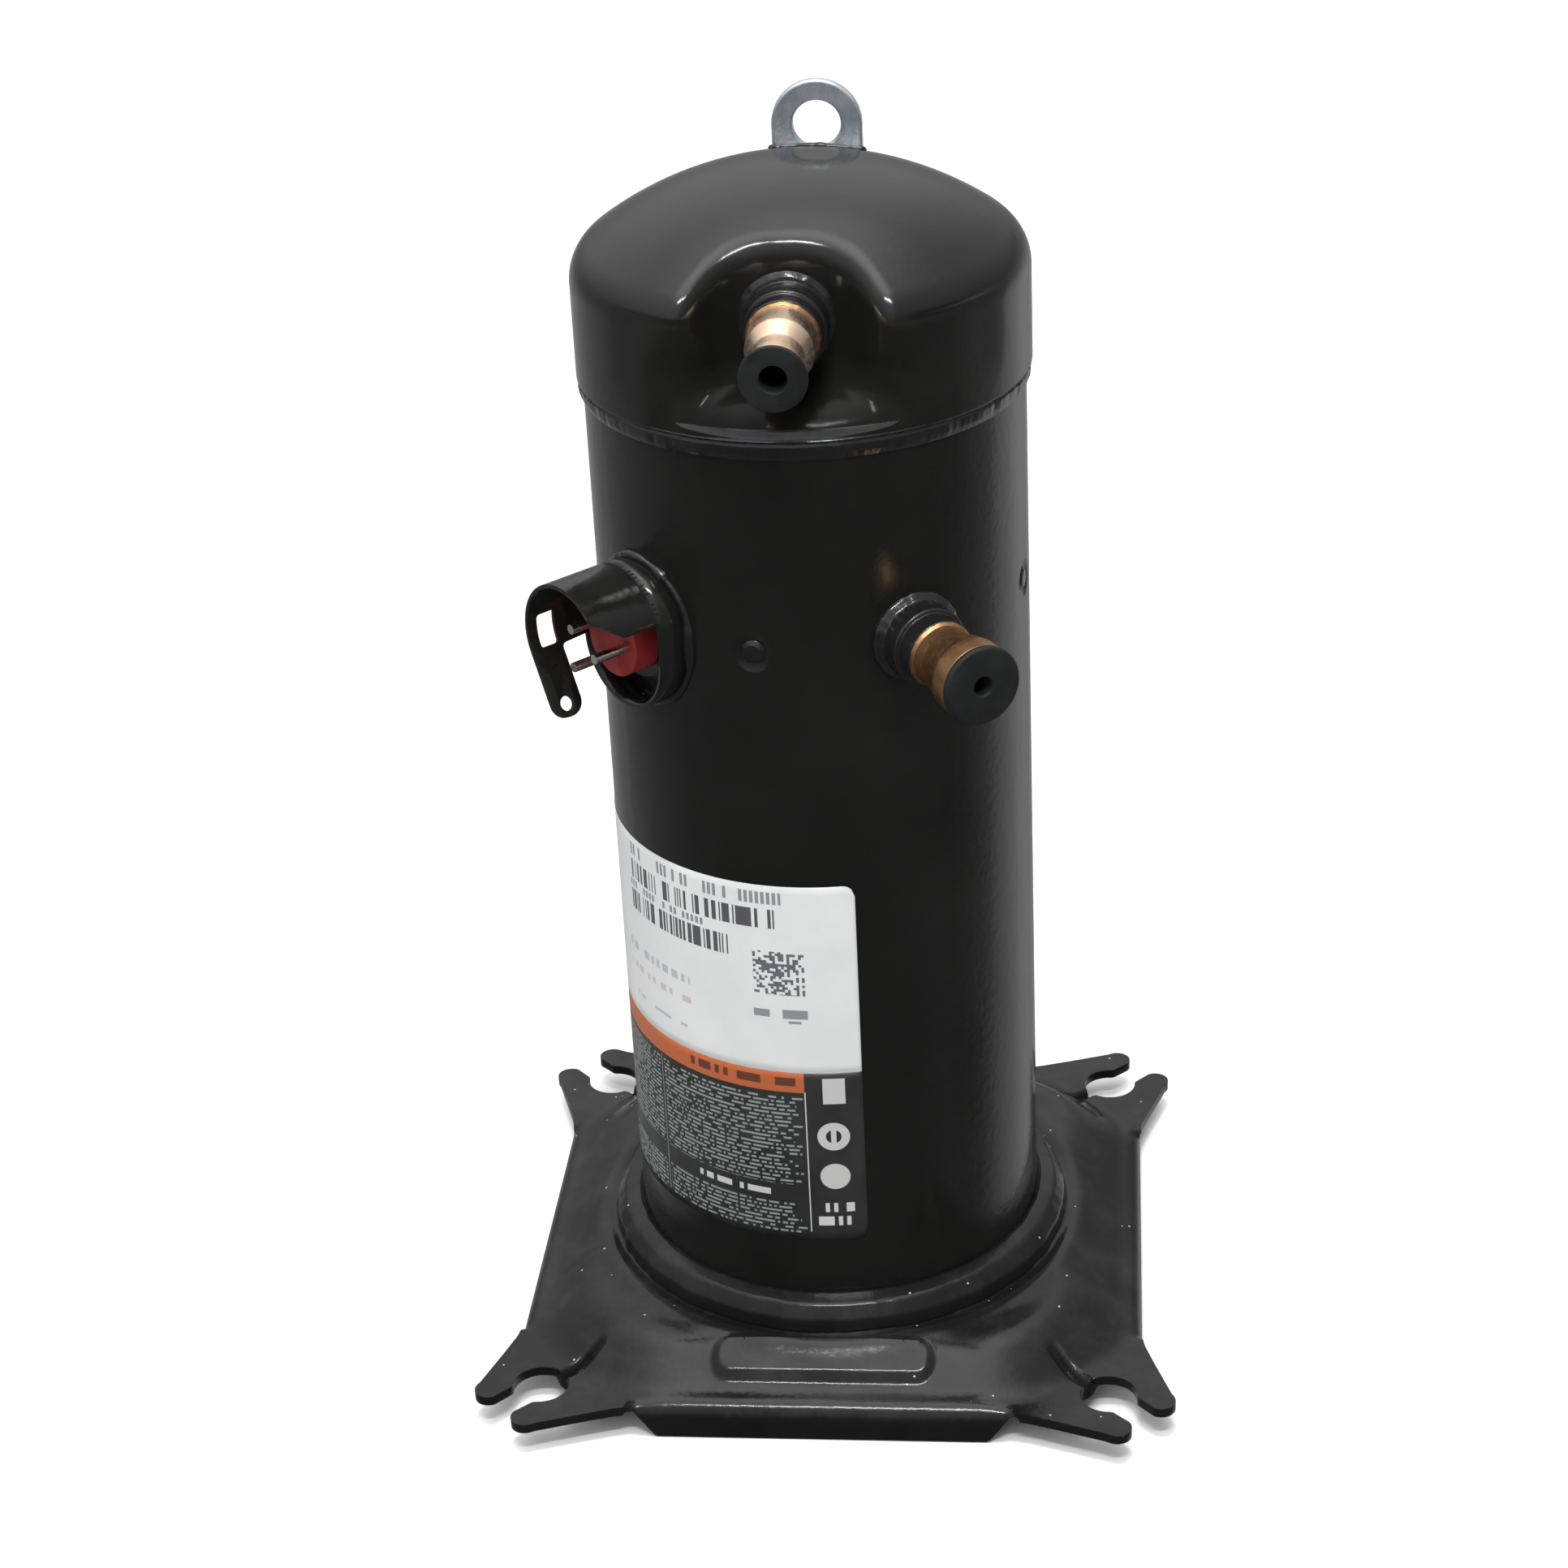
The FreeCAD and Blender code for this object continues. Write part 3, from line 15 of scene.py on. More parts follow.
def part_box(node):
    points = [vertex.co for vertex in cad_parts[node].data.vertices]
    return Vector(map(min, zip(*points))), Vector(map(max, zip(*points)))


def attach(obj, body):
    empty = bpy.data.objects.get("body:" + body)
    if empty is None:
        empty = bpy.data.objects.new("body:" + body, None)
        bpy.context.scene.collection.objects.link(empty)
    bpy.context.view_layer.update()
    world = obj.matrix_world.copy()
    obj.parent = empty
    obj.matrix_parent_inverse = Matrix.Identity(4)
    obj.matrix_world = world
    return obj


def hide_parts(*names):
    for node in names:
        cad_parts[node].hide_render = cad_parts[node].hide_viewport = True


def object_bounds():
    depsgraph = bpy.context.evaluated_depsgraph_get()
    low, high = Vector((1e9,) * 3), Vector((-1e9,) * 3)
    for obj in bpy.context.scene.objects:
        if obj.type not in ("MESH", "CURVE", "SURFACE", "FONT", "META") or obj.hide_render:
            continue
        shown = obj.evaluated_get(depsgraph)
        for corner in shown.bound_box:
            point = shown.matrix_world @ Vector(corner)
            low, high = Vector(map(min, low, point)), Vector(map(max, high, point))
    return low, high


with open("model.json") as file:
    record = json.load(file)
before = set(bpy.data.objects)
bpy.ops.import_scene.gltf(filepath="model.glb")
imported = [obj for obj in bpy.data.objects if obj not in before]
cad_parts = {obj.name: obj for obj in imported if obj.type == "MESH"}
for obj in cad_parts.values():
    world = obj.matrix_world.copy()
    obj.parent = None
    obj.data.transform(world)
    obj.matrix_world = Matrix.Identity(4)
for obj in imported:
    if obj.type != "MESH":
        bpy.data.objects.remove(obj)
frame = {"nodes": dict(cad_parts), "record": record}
cad_low, cad_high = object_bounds()

show = bpy.context.scene.collection.objects.link
MM = 0.001
TAU = 2 * math.pi
CASING = "casing"
PAINT = "black_paint"
SHELL_R = 69.85
CAP_R = 71.8
CAP_EDGE = 341.7
CAP_BOTTOM = 335.5
CAP_TOP = 405.2
CROWN_R = 111.5
KNUCKLE_R = 15.0
SUCTION_AZ = 31.5
DIMPLE_AZ = -11.0
GROOVE_START = (76.5, 79.5)
GROOVE_RUN = (0.7557, 0.6549)
GROOVE_LENGTH = 20.0
DIMPLE_Z = 271.6
SUCTION_Z = 273.0
DISCHARGE_Z = 371.0
TERMINAL_AZ = -45.0
FENCE_Z = 276.0


# ---- shader nodes ----


class Value:
    """What a shader node gives out, with ordinary arithmetic that adds further nodes."""

    def __init__(self, graph, socket):
        self.graph, self.socket = graph, socket

    def __add__(self, other):
        return self.graph.math("ADD", self, other)

    def __sub__(self, other):
        return self.graph.math("SUBTRACT", self, other)

    def __rsub__(self, other):
        return self.graph.math("SUBTRACT", other, self)

    def __mul__(self, other):
        return self.graph.math("MULTIPLY", self, other)

    def __gt__(self, other):
        return self.graph.math("GREATER_THAN", self, other)

    def __lt__(self, other):
        return self.graph.math("LESS_THAN", self, other)

    def act(self, operation, other=0.0):
        return self.graph.math(operation, self, other)

    def hypot(self, other):
        return (self * self + other * other).act("SQRT")

    def remap(self, low, high, out_low=0.0, out_high=1.0, **settings):
        spans = {"Value": self, "From Min": low, "From Max": high, "To Min": out_low, "To Max": out_high}
        return self.graph.value("MapRange", spans, **settings)

    def smooth(self, low, high, out_low, out_high):
        return self.remap(low, high, out_low, out_high, interpolation_type="SMOOTHSTEP")


class Graph:
    """A node tree under construction, with short calls for the nodes it needs."""

    def __init__(self, tree):
        self.tree = tree

    def feed(self, socket, value):
        if isinstance(value, Value):
            self.tree.links.new(value.socket, socket)
        elif socket.type == "RGBA":
            socket.default_value = (*value, 1.0)
        else:
            socket.default_value = value

    def node(self, kind, inputs, **settings):
        made = self.tree.nodes.new("ShaderNode" + kind)
        for key, value in settings.items():
            setattr(made, key, value)
        for key, value in inputs.items():
            self.feed(made.inputs[key], value)
        return made

    def value(self, kind, inputs, output=0, **settings):
        return Value(self, self.node(kind, inputs, **settings).outputs[output])

    def math(self, operation, first, second):
        return self.value("Math", {0: first, 1: second}, operation=operation)

    def place(self, kind):
        return self.value("TexCoord", {}, kind)

    def split(self, value, kind="SeparateXYZ"):
        made = self.node(kind, {0: value})
        return [Value(self, made.outputs[index]) for index in range(3)]


class Surface(Graph):
    """A node material under construction."""

    def __init__(self, name, color, roughness, metallic=0.0, specular=0.5):
        self.material = bpy.data.materials.new(name)
        self.material.use_nodes = True
        super().__init__(self.material.node_tree)
        self.here = self.place("Object")
        self.set("Base Color", color)
        self.set("Roughness", roughness)
        self.set("Metallic", metallic)
        self.set("Specular IOR Level", specular)

    def set(self, socket, value):
        self.feed(self.tree.nodes["Principled BSDF"].inputs[socket], value)

    def mix(self, factor, first, second):
        return self.value("Mix", {0: factor, 6: first, 7: second}, 2, data_type="RGBA")

    def noise(self, scale, detail=4.0, roughness=0.55, vector=None):
        inputs = {"Vector": vector or self.here, "Scale": scale, "Detail": detail, "Roughness": roughness}
        return self.value("TexNoise", inputs)

    def bump(self, height, strength, distance):
        inputs = {"Height": height, "Strength": strength, "Distance": distance}
        self.set("Normal", self.value("Bump", inputs))


# ---- materials ----

JET = (0.0055, 0.0055, 0.0052)


def paint(name, roughness, specular, ripple, color=JET, dust=0.0, waviness=0.16, painted_shade=None):
    """Black stoving paint: faint orange peel, uneven gloss, dust specks where dust settles, and an optional
    painted shade that lowers the gloss in a recess.
    """
    surface = Surface(name, color, roughness, specular=specular)
    cloud = surface.noise(14.0, 5.0, 0.6)
    fine = surface.noise(260.0, 3.0, 0.6)
    tone = surface.mix(cloud.remap(0.35, 0.7), color, tuple(c * 1.7 for c in color))
    haze = cloud.remap(0.3, 0.75, -0.03, 0.05) + fine.remap(0.3, 0.7, -0.02, 0.03)
    surface.set("Roughness", haze + roughness)
    if dust:
        cells = surface.node("TexVoronoi", {"Vector": surface.here, "Scale": 420.0}, feature="F1")
        speck = Value(surface, cells.outputs["Distance"]) < 0.16
        chosen = surface.split(Value(surface, cells.outputs["Color"]), "SeparateColor")
        lying = surface.split(surface.place("Normal"))[2].remap(0.1, 0.5)
        specks = speck * (chosen[0] > 1.0 - dust) * lying
        film = surface.noise(45.0, 6.0, 0.7).remap(0.45, 0.8, 0.0, 0.05) * lying
        tone = surface.mix(specks * 0.7, surface.mix(film, tone, (0.32, 0.31, 0.3)), (0.62, 0.62, 0.6))
    surface.set("Base Color", tone)
    # Painted shade: the mask lowers the gloss by up to 86 per cent, so the recess reflects less and reads
    # darker.
    if painted_shade:
        surface.set("Specular IOR Level", specular - painted_shade(surface) * (specular * 0.86))
    surface.bump(cloud * 1.6 + surface.noise(ripple, 2.0, 0.5), waviness, 0.0006)
    return surface.material


def niche_floor(surface):
    """Where the cap's niche shades its own floor."""
    x, y, z = surface.split(surface.here)
    # Painted shade: 1 on the niche floor, fading to 0 towards its sides, top and front.
    across = x.act("ABSOLUTE").remap(0.03, 0.045, 1.0, 0.0)
    return across * z.remap(0.364, 0.374, 1.0, 0.0) * y.remap(-0.045, -0.04, 1.0, 0.0)


def groove_painted_shade(surface):
    """Painted shade inside the four short grooves that run out to the plate's ears."""
    x, y, z = surface.split(surface.here)
    gx = x.act("ABSOLUTE") - GROOVE_START[0] * MM
    gy = y.act("ABSOLUTE") - GROOVE_START[1] * MM
    along = gx * GROOVE_RUN[0] + gy * GROOVE_RUN[1]
    along = along.act("MAXIMUM", 0.0).act("MINIMUM", GROOVE_LENGTH * MM)
    away = (gx - along * GROOVE_RUN[0]).hypot(gy - along * GROOVE_RUN[1])
    return away.remap(1.5 * MM, 2.1 * MM, 1.0, 0.0)


def metal(name, color, roughness, stain, grain, along=(1.0, 1.0, 1.0), worn=0.5, metallic=1.0):
    """Bare or plated metal with stained patches and a fine grain stretched along an axis."""
    surface = Surface(name, color, roughness, metallic=metallic)
    patches = surface.noise(55.0, 6.0, 0.62)
    stretched = surface.value("VectorMath", {0: surface.here, 1: along}, operation="MULTIPLY")
    streaks = surface.noise(grain, 4.0, 0.6, stretched)
    surface.set("Base Color", surface.mix(patches.remap(0.4, 0.68, 0.0, worn), color, stain))
    rough = patches.remap(0.3, 0.7, -0.05, 0.12) + streaks.remap(0.3, 0.7, -0.06, 0.06)
    surface.set("Roughness", rough + roughness)
    surface.bump(streaks, 0.22, 0.0002)
    return surface.material


def cast(name, color, roughness, metallic, scale=420.0, depth=0.0004):
    """A cast or sintered surface: a rough grain with darker hollows."""
    surface = Surface(name, color, roughness, metallic=metallic)
    grain = surface.noise(scale, 8.0, 0.65)
    level = grain.remap(0.35, 0.65, 0.0, 0.55) + surface.noise(35.0, 4.0, 0.55).remap(0.4, 0.7, 0.0, 0.4)
    surface.set("Base Color", surface.mix(level, color, tuple(c * 0.55 for c in color)))
    surface.set("Roughness", grain.remap(0.3, 0.7, roughness - 0.08, roughness + 0.1))
    surface.bump(grain, 0.35, depth)
    return surface.material


def rubber(name, color, roughness):
    """Moulded rubber with a matt skin and a chalky bloom."""
    surface = Surface(name, color, roughness, specular=0.35)
    bloom = surface.noise(90.0, 6.0, 0.6)
    chalky = tuple(c * 2.1 + 0.004 for c in color)
    surface.set("Base Color", surface.mix(bloom.remap(0.4, 0.75, 0.0, 0.5), color, chalky))
    surface.set("Roughness", bloom.remap(0.3, 0.7, roughness - 0.08, roughness + 0.1))
    surface.bump(surface.noise(1400.0, 3.0, 0.5), 0.25, 0.00025)
    return surface.material


def laminated(name, color):
    """Punched steel sheets in a stack: fine lines across the height."""
    surface = Surface(name, color, 0.42, metallic=1.0)
    height = surface.split(surface.here)[2]
    gap = (height * (1 / 0.0005)).act("FRACT") > 0.86
    rust = surface.noise(60.0, 6.0, 0.65).remap(0.5, 0.75, 0.0, 0.6)
    tone = surface.mix(rust, color, (0.22, 0.13, 0.08))
    surface.set("Base Color", surface.mix(gap, tone, (0.05, 0.05, 0.05)))
    surface.set("Roughness", rust.remap(0.0, 0.6, 0.36, 0.6))
    surface.bump(1.0 - gap, 0.4, 0.0001)
    return surface.material


def winding(name, color):
    """Varnished copper wire laid in hanks round the slots."""
    surface = Surface(name, color, 0.32, metallic=0.85)
    inputs = {"Vector": surface.here, "Scale": 260.0, "Distortion": 3.5, "Detail": 2.0}
    turns = surface.value("TexWave", inputs, "Fac", wave_type="BANDS", bands_direction="DIAGONAL")
    surface.set("Base Color", surface.mix(turns, tuple(c * 0.4 for c in color), color))
    surface.set("Roughness", surface.noise(80.0).remap(0.3, 0.7, 0.25, 0.45))
    surface.bump(turns, 0.7, 0.0005)
    return surface.material


black_gloss = paint("black_gloss_paint", 0.13, 0.42, 330.0)
# The cap's paint carries painted shade on its niche floor, the plate's paint in its grooves.
black_cap = paint("black_cap_paint", 0.13, 0.42, 330.0, waviness=0.1, painted_shade=niche_floor)
black_plate = paint(
    "black_plate_paint", 0.14, 0.27, 420.0, (0.0055, 0.0055, 0.0055), 0.03, waviness=0.08, painted_shade=groove_painted_shade
)
black_weld = paint("black_weld_paint", 0.1, 0.6, 700.0, (0.006, 0.006, 0.006))
zinc = metal("zinc_plate", (0.84, 0.9, 0.97), 0.22, (0.3, 0.37, 0.45), 500.0, (1.0, 1.0, 0.25), 0.75, 0.85)
copper_bright = metal("copper_bright", (1.0, 0.8, 0.6), 0.3, (0.8, 0.42, 0.2), 700.0, (1.0, 0.2, 1.0), 0.6)
copper_dull = metal("copper_dull", (0.56, 0.32, 0.16), 0.36, (0.3, 0.15, 0.07), 700.0, (0.5, 0.5, 1.0), 0.7)
plug_black = rubber("plug_rubber", (0.0065, 0.007, 0.007), 0.6)
pin_metal = metal("pin_steel", (0.74, 0.72, 0.68), 0.24, (0.45, 0.42, 0.36), 900.0)
insulator = rubber("red_insulator", (0.16, 0.012, 0.013), 0.38)
INNER = {
    "cast_iron": cast("cast_iron", (0.16, 0.16, 0.165), 0.55, 0.8),
    "sintered_steel": cast("sintered_steel", (0.3, 0.3, 0.31), 0.48, 0.9, 900.0, 0.0002),
    "bare_steel": metal("bare_steel", (0.5, 0.51, 0.53), 0.34, (0.3, 0.27, 0.24), 480.0),
    "bearing_bronze": metal("bearing_bronze", (0.62, 0.42, 0.2), 0.35, (0.36, 0.22, 0.1), 520.0),
    "seal_polymer": rubber("seal_polymer", (0.05, 0.045, 0.035), 0.5),
    "ground_steel": metal("ground_steel", (0.66, 0.67, 0.68), 0.18, (0.5, 0.5, 0.5), 900.0, (0.2, 0.2, 3.0)),
    "lamination_steel": laminated("lamination_steel", (0.38, 0.39, 0.41)),
    "cast_aluminium": cast("cast_aluminium", (0.62, 0.63, 0.65), 0.42, 0.95, 520.0),
    "copper_winding": winding("copper_winding", (0.62, 0.24, 0.09)),
    "protector_plastic": rubber("protector_plastic", (0.045, 0.04, 0.036), 0.45),
    "pin_steel": pin_metal,
    "red_insulator": insulator,
    "zinc_plate": zinc,
    "copper": copper_dull,
    "plug_rubber": plug_black,
    "black_paint": black_gloss,
}


# ---- mesh helpers ----


def piece(name, points, faces, material, replaced=(), crease=38.0, body=CASING, slot=PAINT):
    """A smooth-shaded mesh object from points in millimetres, riding on a body."""
    mesh = bpy.data.meshes.new(name)
    mesh.from_pydata([tuple(point) for point in np.asarray(points, float) * MM], [], faces)
    mesh.validate()
    mesh.materials.append(material)
    mesh.shade_smooth()
    mesh.set_sharp_from_angle(angle=math.radians(crease))
    made = bpy.data.objects.new(name, mesh)
    show(made)
    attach(made, body)
    if replaced:
        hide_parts(*replaced)
    return made


def thicken(made, thickness, offset=-1.0):
    """Give a surface its sheet thickness, inward unless an offset says otherwise."""
    sheet = made.modifiers.new("sheet", "SOLIDIFY")
    sheet.thickness = thickness * MM
    sheet.offset = offset


def soften(made, width, angle):
    """Round off the edges that turn by more than an angle."""
    edge = made.modifiers.new("edge", "BEVEL")
    edge.width = width * MM
    edge.segments = 2
    edge.limit_method = "ANGLE"
    edge.angle_limit = math.radians(angle)


def lattice(rows, columns, closed_rows, closed_columns):
    """Quads over a grid of points stored row by row."""
    faces = []
    for i in range(rows if closed_rows else rows - 1):
        for j in range(columns if closed_columns else columns - 1):
            k, m = (i + 1) % rows, (j + 1) % columns
            faces.append((i * columns + j, i * columns + m, k * columns + m, k * columns + j))
    return faces


def rounded(corners, closed=True, steps=6):
    """A polygon of (a, b, fillet radius) corners with its corners turned into arcs."""
    points = []
    count = len(corners)
    for index, (a, b, radius) in enumerate(corners):
        here = np.array([a, b], float)
        if radius <= 0 or (not closed and index in (0, count - 1)):
            points.append(here)
            continue
        before = np.array(corners[index - 1][:2], float) - here
        after = np.array(corners[(index + 1) % count][:2], float) - here
        len_before, len_after = np.linalg.norm(before), np.linalg.norm(after)
        before, after = before / len_before, after / len_after
        half = math.acos(max(-1.0, min(1.0, float(before @ after)))) / 2
        if half > math.pi / 2 - 0.02:
            points.append(here)
            continue
        reach = min(radius / math.tan(half), 0.49 * len_before, 0.49 * len_after)
        used = reach * math.tan(half)
        middle = (before + after) / np.linalg.norm(before + after)
        centre = here + middle * used / math.sin(half)
        start, end = here + before * reach - centre, here + after * reach - centre
        turn = math.atan2(start[0] * end[1] - start[1] * end[0], float(start @ end))
        for step in range(steps + 1):
            angle = turn * step / steps
            cos, sin = math.cos(angle), math.sin(angle)
            points.append(centre + [start[0] * cos - start[1] * sin, start[0] * sin + start[1] * cos])
    return np.array(points)


def axis_frame(azimuth, height):
    """Origin, outward axis, sideways axis and up axis of something that stands out of the shell."""
    angle = math.radians(azimuth)
    outward = np.array([math.sin(angle), -math.cos(angle), 0.0])
    sideways = np.array([math.cos(angle), math.sin(angle), 0.0])
    return np.array([0.0, 0.0, height]), outward, sideways, np.array([0.0, 0.0, 1.0])


BEAD_STEPS = 12
UPRIGHT = (np.zeros(3), np.array([0.0, 0.0, 1.0]), np.array([1.0, 0.0, 0.0]), np.array([0.0, 1.0, 0.0]))


def turned(name, corners, axes, material, replaced=(), segments=96, steps=6, wobble=None, **belongs):
    """A closed ring of (radius, height, fillet) corners turned round an axis."""
    section = rounded(corners, True, steps)
    origin, along, across, up = axes
    angles = np.arange(segments) * TAU / segments
    points = []
    for radius, height in section:
        radii = np.full(segments, radius)
        if wobble is not None:
            radii = radii + wobble(angles, radius, height)
        spokes = np.cos(angles)[:, None] * across + np.sin(angles)[:, None] * up
        points.append(origin + along * height + radii[:, None] * spokes)
    faces = lattice(len(section), segments, True, True)
    after = np.roll(section, -1, 0)
    area = 0.5 * np.sum(section[:, 0] * after[:, 1] - after[:, 0] * section[:, 1])
    handed = np.linalg.det(np.array([across, up, along]))
    if area * handed < 0:
        faces = [face[::-1] for face in faces]
    return piece(name, np.concatenate(points), faces, material, replaced, **belongs)


def ripple(seed, count):
    """A smooth closed random wave with a given number of random knots, as a function of angle."""
    values = np.random.default_rng(seed).uniform(-1.0, 1.0, count)

    def wave(angles):
        place = (angles % TAU) / TAU * count
        low = np.floor(place).astype(int) % count
        blend = place - np.floor(place)
        blend = blend * blend * (3 - 2 * blend)
        return values[low] * (1 - blend) + values[(low + 1) % count] * blend

    return wave


def bead(name, centres, radius, seed, rough, normals=None):
    """A weld bead: a tube round a closed line, swelling and shrinking as the weld pool froze."""
    count = len(centres)
    lengthwise = np.roll(centres, -1, 0) - np.roll(centres, 1, 0)
    lengthwise /= np.linalg.norm(lengthwise, axis=1)[:, None]
    out = normals if normals is not None else np.tile([0.0, 0.0, 1.0], (count, 1))
    side = np.cross(lengthwise, out)
    side /= np.linalg.norm(side, axis=1)[:, None]
    out = np.cross(side, lengthwise)
    swell = 1 + rough * (ripple(seed, max(8, count // 5))(np.arange(count) * TAU / count))
    swell = swell * (1 + 0.35 * rough * np.random.default_rng(seed).uniform(-1, 1, count))
    angles = np.arange(BEAD_STEPS) * TAU / BEAD_STEPS
    spokes = np.cos(angles)[:, None] * side[:, None] + np.sin(angles)[:, None] * out[:, None]
    points = centres[:, None] + radius * swell[:, None, None] * spokes
    faces = lattice(count, BEAD_STEPS, True, True)
    return piece(name, points.reshape(-1, 3), faces, black_weld, crease=60.0)


def filled(name, loops, thickness=0.0, bevel=0.0):
    """Mesh of a flat pattern with holes, drawn as a filled curve; its coordinates are in metres."""
    curve = bpy.data.curves.new(name, "CURVE")
    curve.dimensions = "2D"
    curve.fill_mode = "BOTH"
    curve.extrude = (thickness / 2 - bevel) * MM
    curve.bevel_depth = bevel * MM
    curve.bevel_resolution = 3
    curve.offset = -bevel * MM
    for loop in loops:
        spline = curve.splines.new("POLY")
        spline.points.add(len(loop) - 1)
        for point, (a, b) in zip(spline.points, loop):
            point.co = (a * MM, b * MM, 0, 1)
        spline.use_cyclic_u = True
    carrier = bpy.data.objects.new(name, curve)
    show(carrier)
    bpy.context.view_layer.update()
    mesh = bpy.data.meshes.new_from_object(carrier.evaluated_get(bpy.context.evaluated_depsgraph_get()))
    bpy.data.objects.remove(carrier)
    return mesh


def circle(radius, x, y, steps=48):
    return [(x + radius * math.cos(a), y + radius * math.sin(a)) for a in np.arange(steps) * TAU / steps]


def smooth_max(first, second, width):
    """The larger of two fields, rounded off over a width."""
    gap = np.clip(width - np.abs(first - second), 0, None) / width
    return np.maximum(first, second) + gap * gap * width / 4


# ---- top cap ----

CROWN_CENTRE = CAP_TOP - CROWN_R
KNUCKLE_OUT = CAP_R - KNUCKLE_R
KNUCKLE_UP = CROWN_CENTRE + math.sqrt((CROWN_R - KNUCKLE_R) ** 2 - KNUCKLE_OUT**2)
CAP_SHEET = 2.3
CAP_INSIDE = 327.0
NICHE_BACK = 46.0
NICHE_HALF = 16.0
NICHE_SIDE = math.radians(38.7)
NICHE_FLOOR = 354.2
NICHE_DROP = math.tan(math.radians(12.0))


def crown_field(radius, height):
    """Signed distance from the plain domed outline of the cap."""
    skirt = radius - CAP_R
    out, up = radius - KNUCKLE_OUT, height - KNUCKLE_UP
    knuckle = np.hypot(out, up) - KNUCKLE_R
    crown = np.hypot(radius, height - CROWN_CENTRE) - CROWN_R
    on_knuckle = out * (KNUCKLE_UP - CROWN_CENTRE) > up * KNUCKLE_OUT
    return np.where(up < 0, skirt, np.where(on_knuckle, knuckle, crown))


def dome_height(x, y):
    """Height of the crown's surface at a place."""
    return CROWN_CENTRE + math.sqrt(CROWN_R**2 - x * x - y * y)


def cap_field(points):
    """Signed field of the cap's outside: the dome less the pressed niche and its two side dents."""
    x, y, z = points[..., 0], points[..., 1], points[..., 2]
    outline = crown_field(np.hypot(x, y), z)
    back = y + NICHE_BACK
    floor = NICHE_FLOOR - (-y - NICHE_BACK) * NICHE_DROP - z
    spread = (np.abs(x) - NICHE_HALF) * math.cos(NICHE_SIDE) + (y + NICHE_BACK) * math.sin(NICHE_SIDE)
    pocket = smooth_max(smooth_max(back, spread, 9.0), floor, 7.0)
    cut = smooth_max(outline, -pocket, 6.0 + 11.0 * np.clip((374.0 - z) / 14.0, 0, 1))
    azimuth = np.degrees(np.arctan2(x, -y))
    right = 1.15 * np.exp(-(((azimuth - 46.0) / 14.0) ** 4))
    left = 0.8 * np.exp(-(((azimuth + 36.0) / 10.0) ** 4))
    tall = np.clip((377.5 - z) / 2.2, 0, 1) * np.clip((z - 346.0) / 14.0, 0, 1)
    return cut + (right + left) * (tall * tall * (3 - 2 * tall))


def build_cap():
    """The cap's outside by walking out along rays from a point inside, then given its sheet thickness."""
    eye = np.array([0.0, 0.0, CAP_INSIDE])
    fine = np.arange(-74.0, 74.0, 0.45)
    coarse = np.arange(74.0, 286.0, 2.0)
    azimuths = np.radians(np.concatenate([fine, coarse]))
    lowest = math.atan2(CAP_EDGE - eye[2], CAP_R)
    steps = np.linspace(0, 1, 190)
    rises = lowest + (math.radians(89.2) - lowest) * steps
    turn, rise = np.meshgrid(azimuths, rises)
    rays = np.stack([np.sin(turn) * np.cos(rise), -np.cos(turn) * np.cos(rise), np.sin(rise)], -1)
    near, far = np.full(turn.shape, 15.0), np.full(turn.shape, 130.0)
    for _ in range(34):
        middle = (near + far) / 2
        inside = cap_field(eye + rays * middle[..., None]) < 0
        near, far = np.where(inside, middle, near), np.where(inside, far, middle)
    grid = eye + rays * near[..., None]
    rows, columns = turn.shape
    points = grid.reshape(-1, 3)
    faces = lattice(rows, columns, False, True)
    top = len(points)
    points = np.vstack([points, [0.0, 0.0, CAP_TOP]])
    last = (rows - 1) * columns
    faces += [(last + j, last + (j + 1) % columns, top) for j in range(columns)]
    thicken(piece("cap_dome", points, faces, black_cap, ["top_cap"], 70.0), CAP_SHEET)


def build_cap_weld():
    """The weld that closes the cap on the shell, with its edge rolled under."""
    lumps = ripple(11, 150)
    small = ripple(12, 420)

    def wobble(angles, radius, height):
        if radius < SHELL_R + 0.8 or height > CAP_EDGE - 0.3:
            return np.zeros(len(angles))
        return 0.22 * lumps(angles) + 0.12 * small(angles)

    corners = [
        (SHELL_R + 0.05, CAP_EDGE + 0.4, 0), (SHELL_R + 0.05, CAP_BOTTOM + 0.1, 0),
        (SHELL_R + 0.7, CAP_BOTTOM + 0.1, 0.4), (CAP_R - 0.6, CAP_BOTTOM + 2.2, 1.0),
        (CAP_R - 0.3, CAP_BOTTOM + 4.6, 1.0), (CAP_R - 0.9, CAP_EDGE - 0.5, 0.3),
        (CAP_R - 0.1, CAP_EDGE + 0.1, 0.2), (CAP_R - 0.4, CAP_EDGE + 0.4, 0),
    ]
    turned("cap_weld", corners, UPRIGHT, black_weld, segments=720, steps=3, wobble=wobble)


# ---- lifting eye ----

EYE_HOLE_R = 7.6
EYE_HOLE_Z = 406.8
EYE_WELD_BACK = 2.1


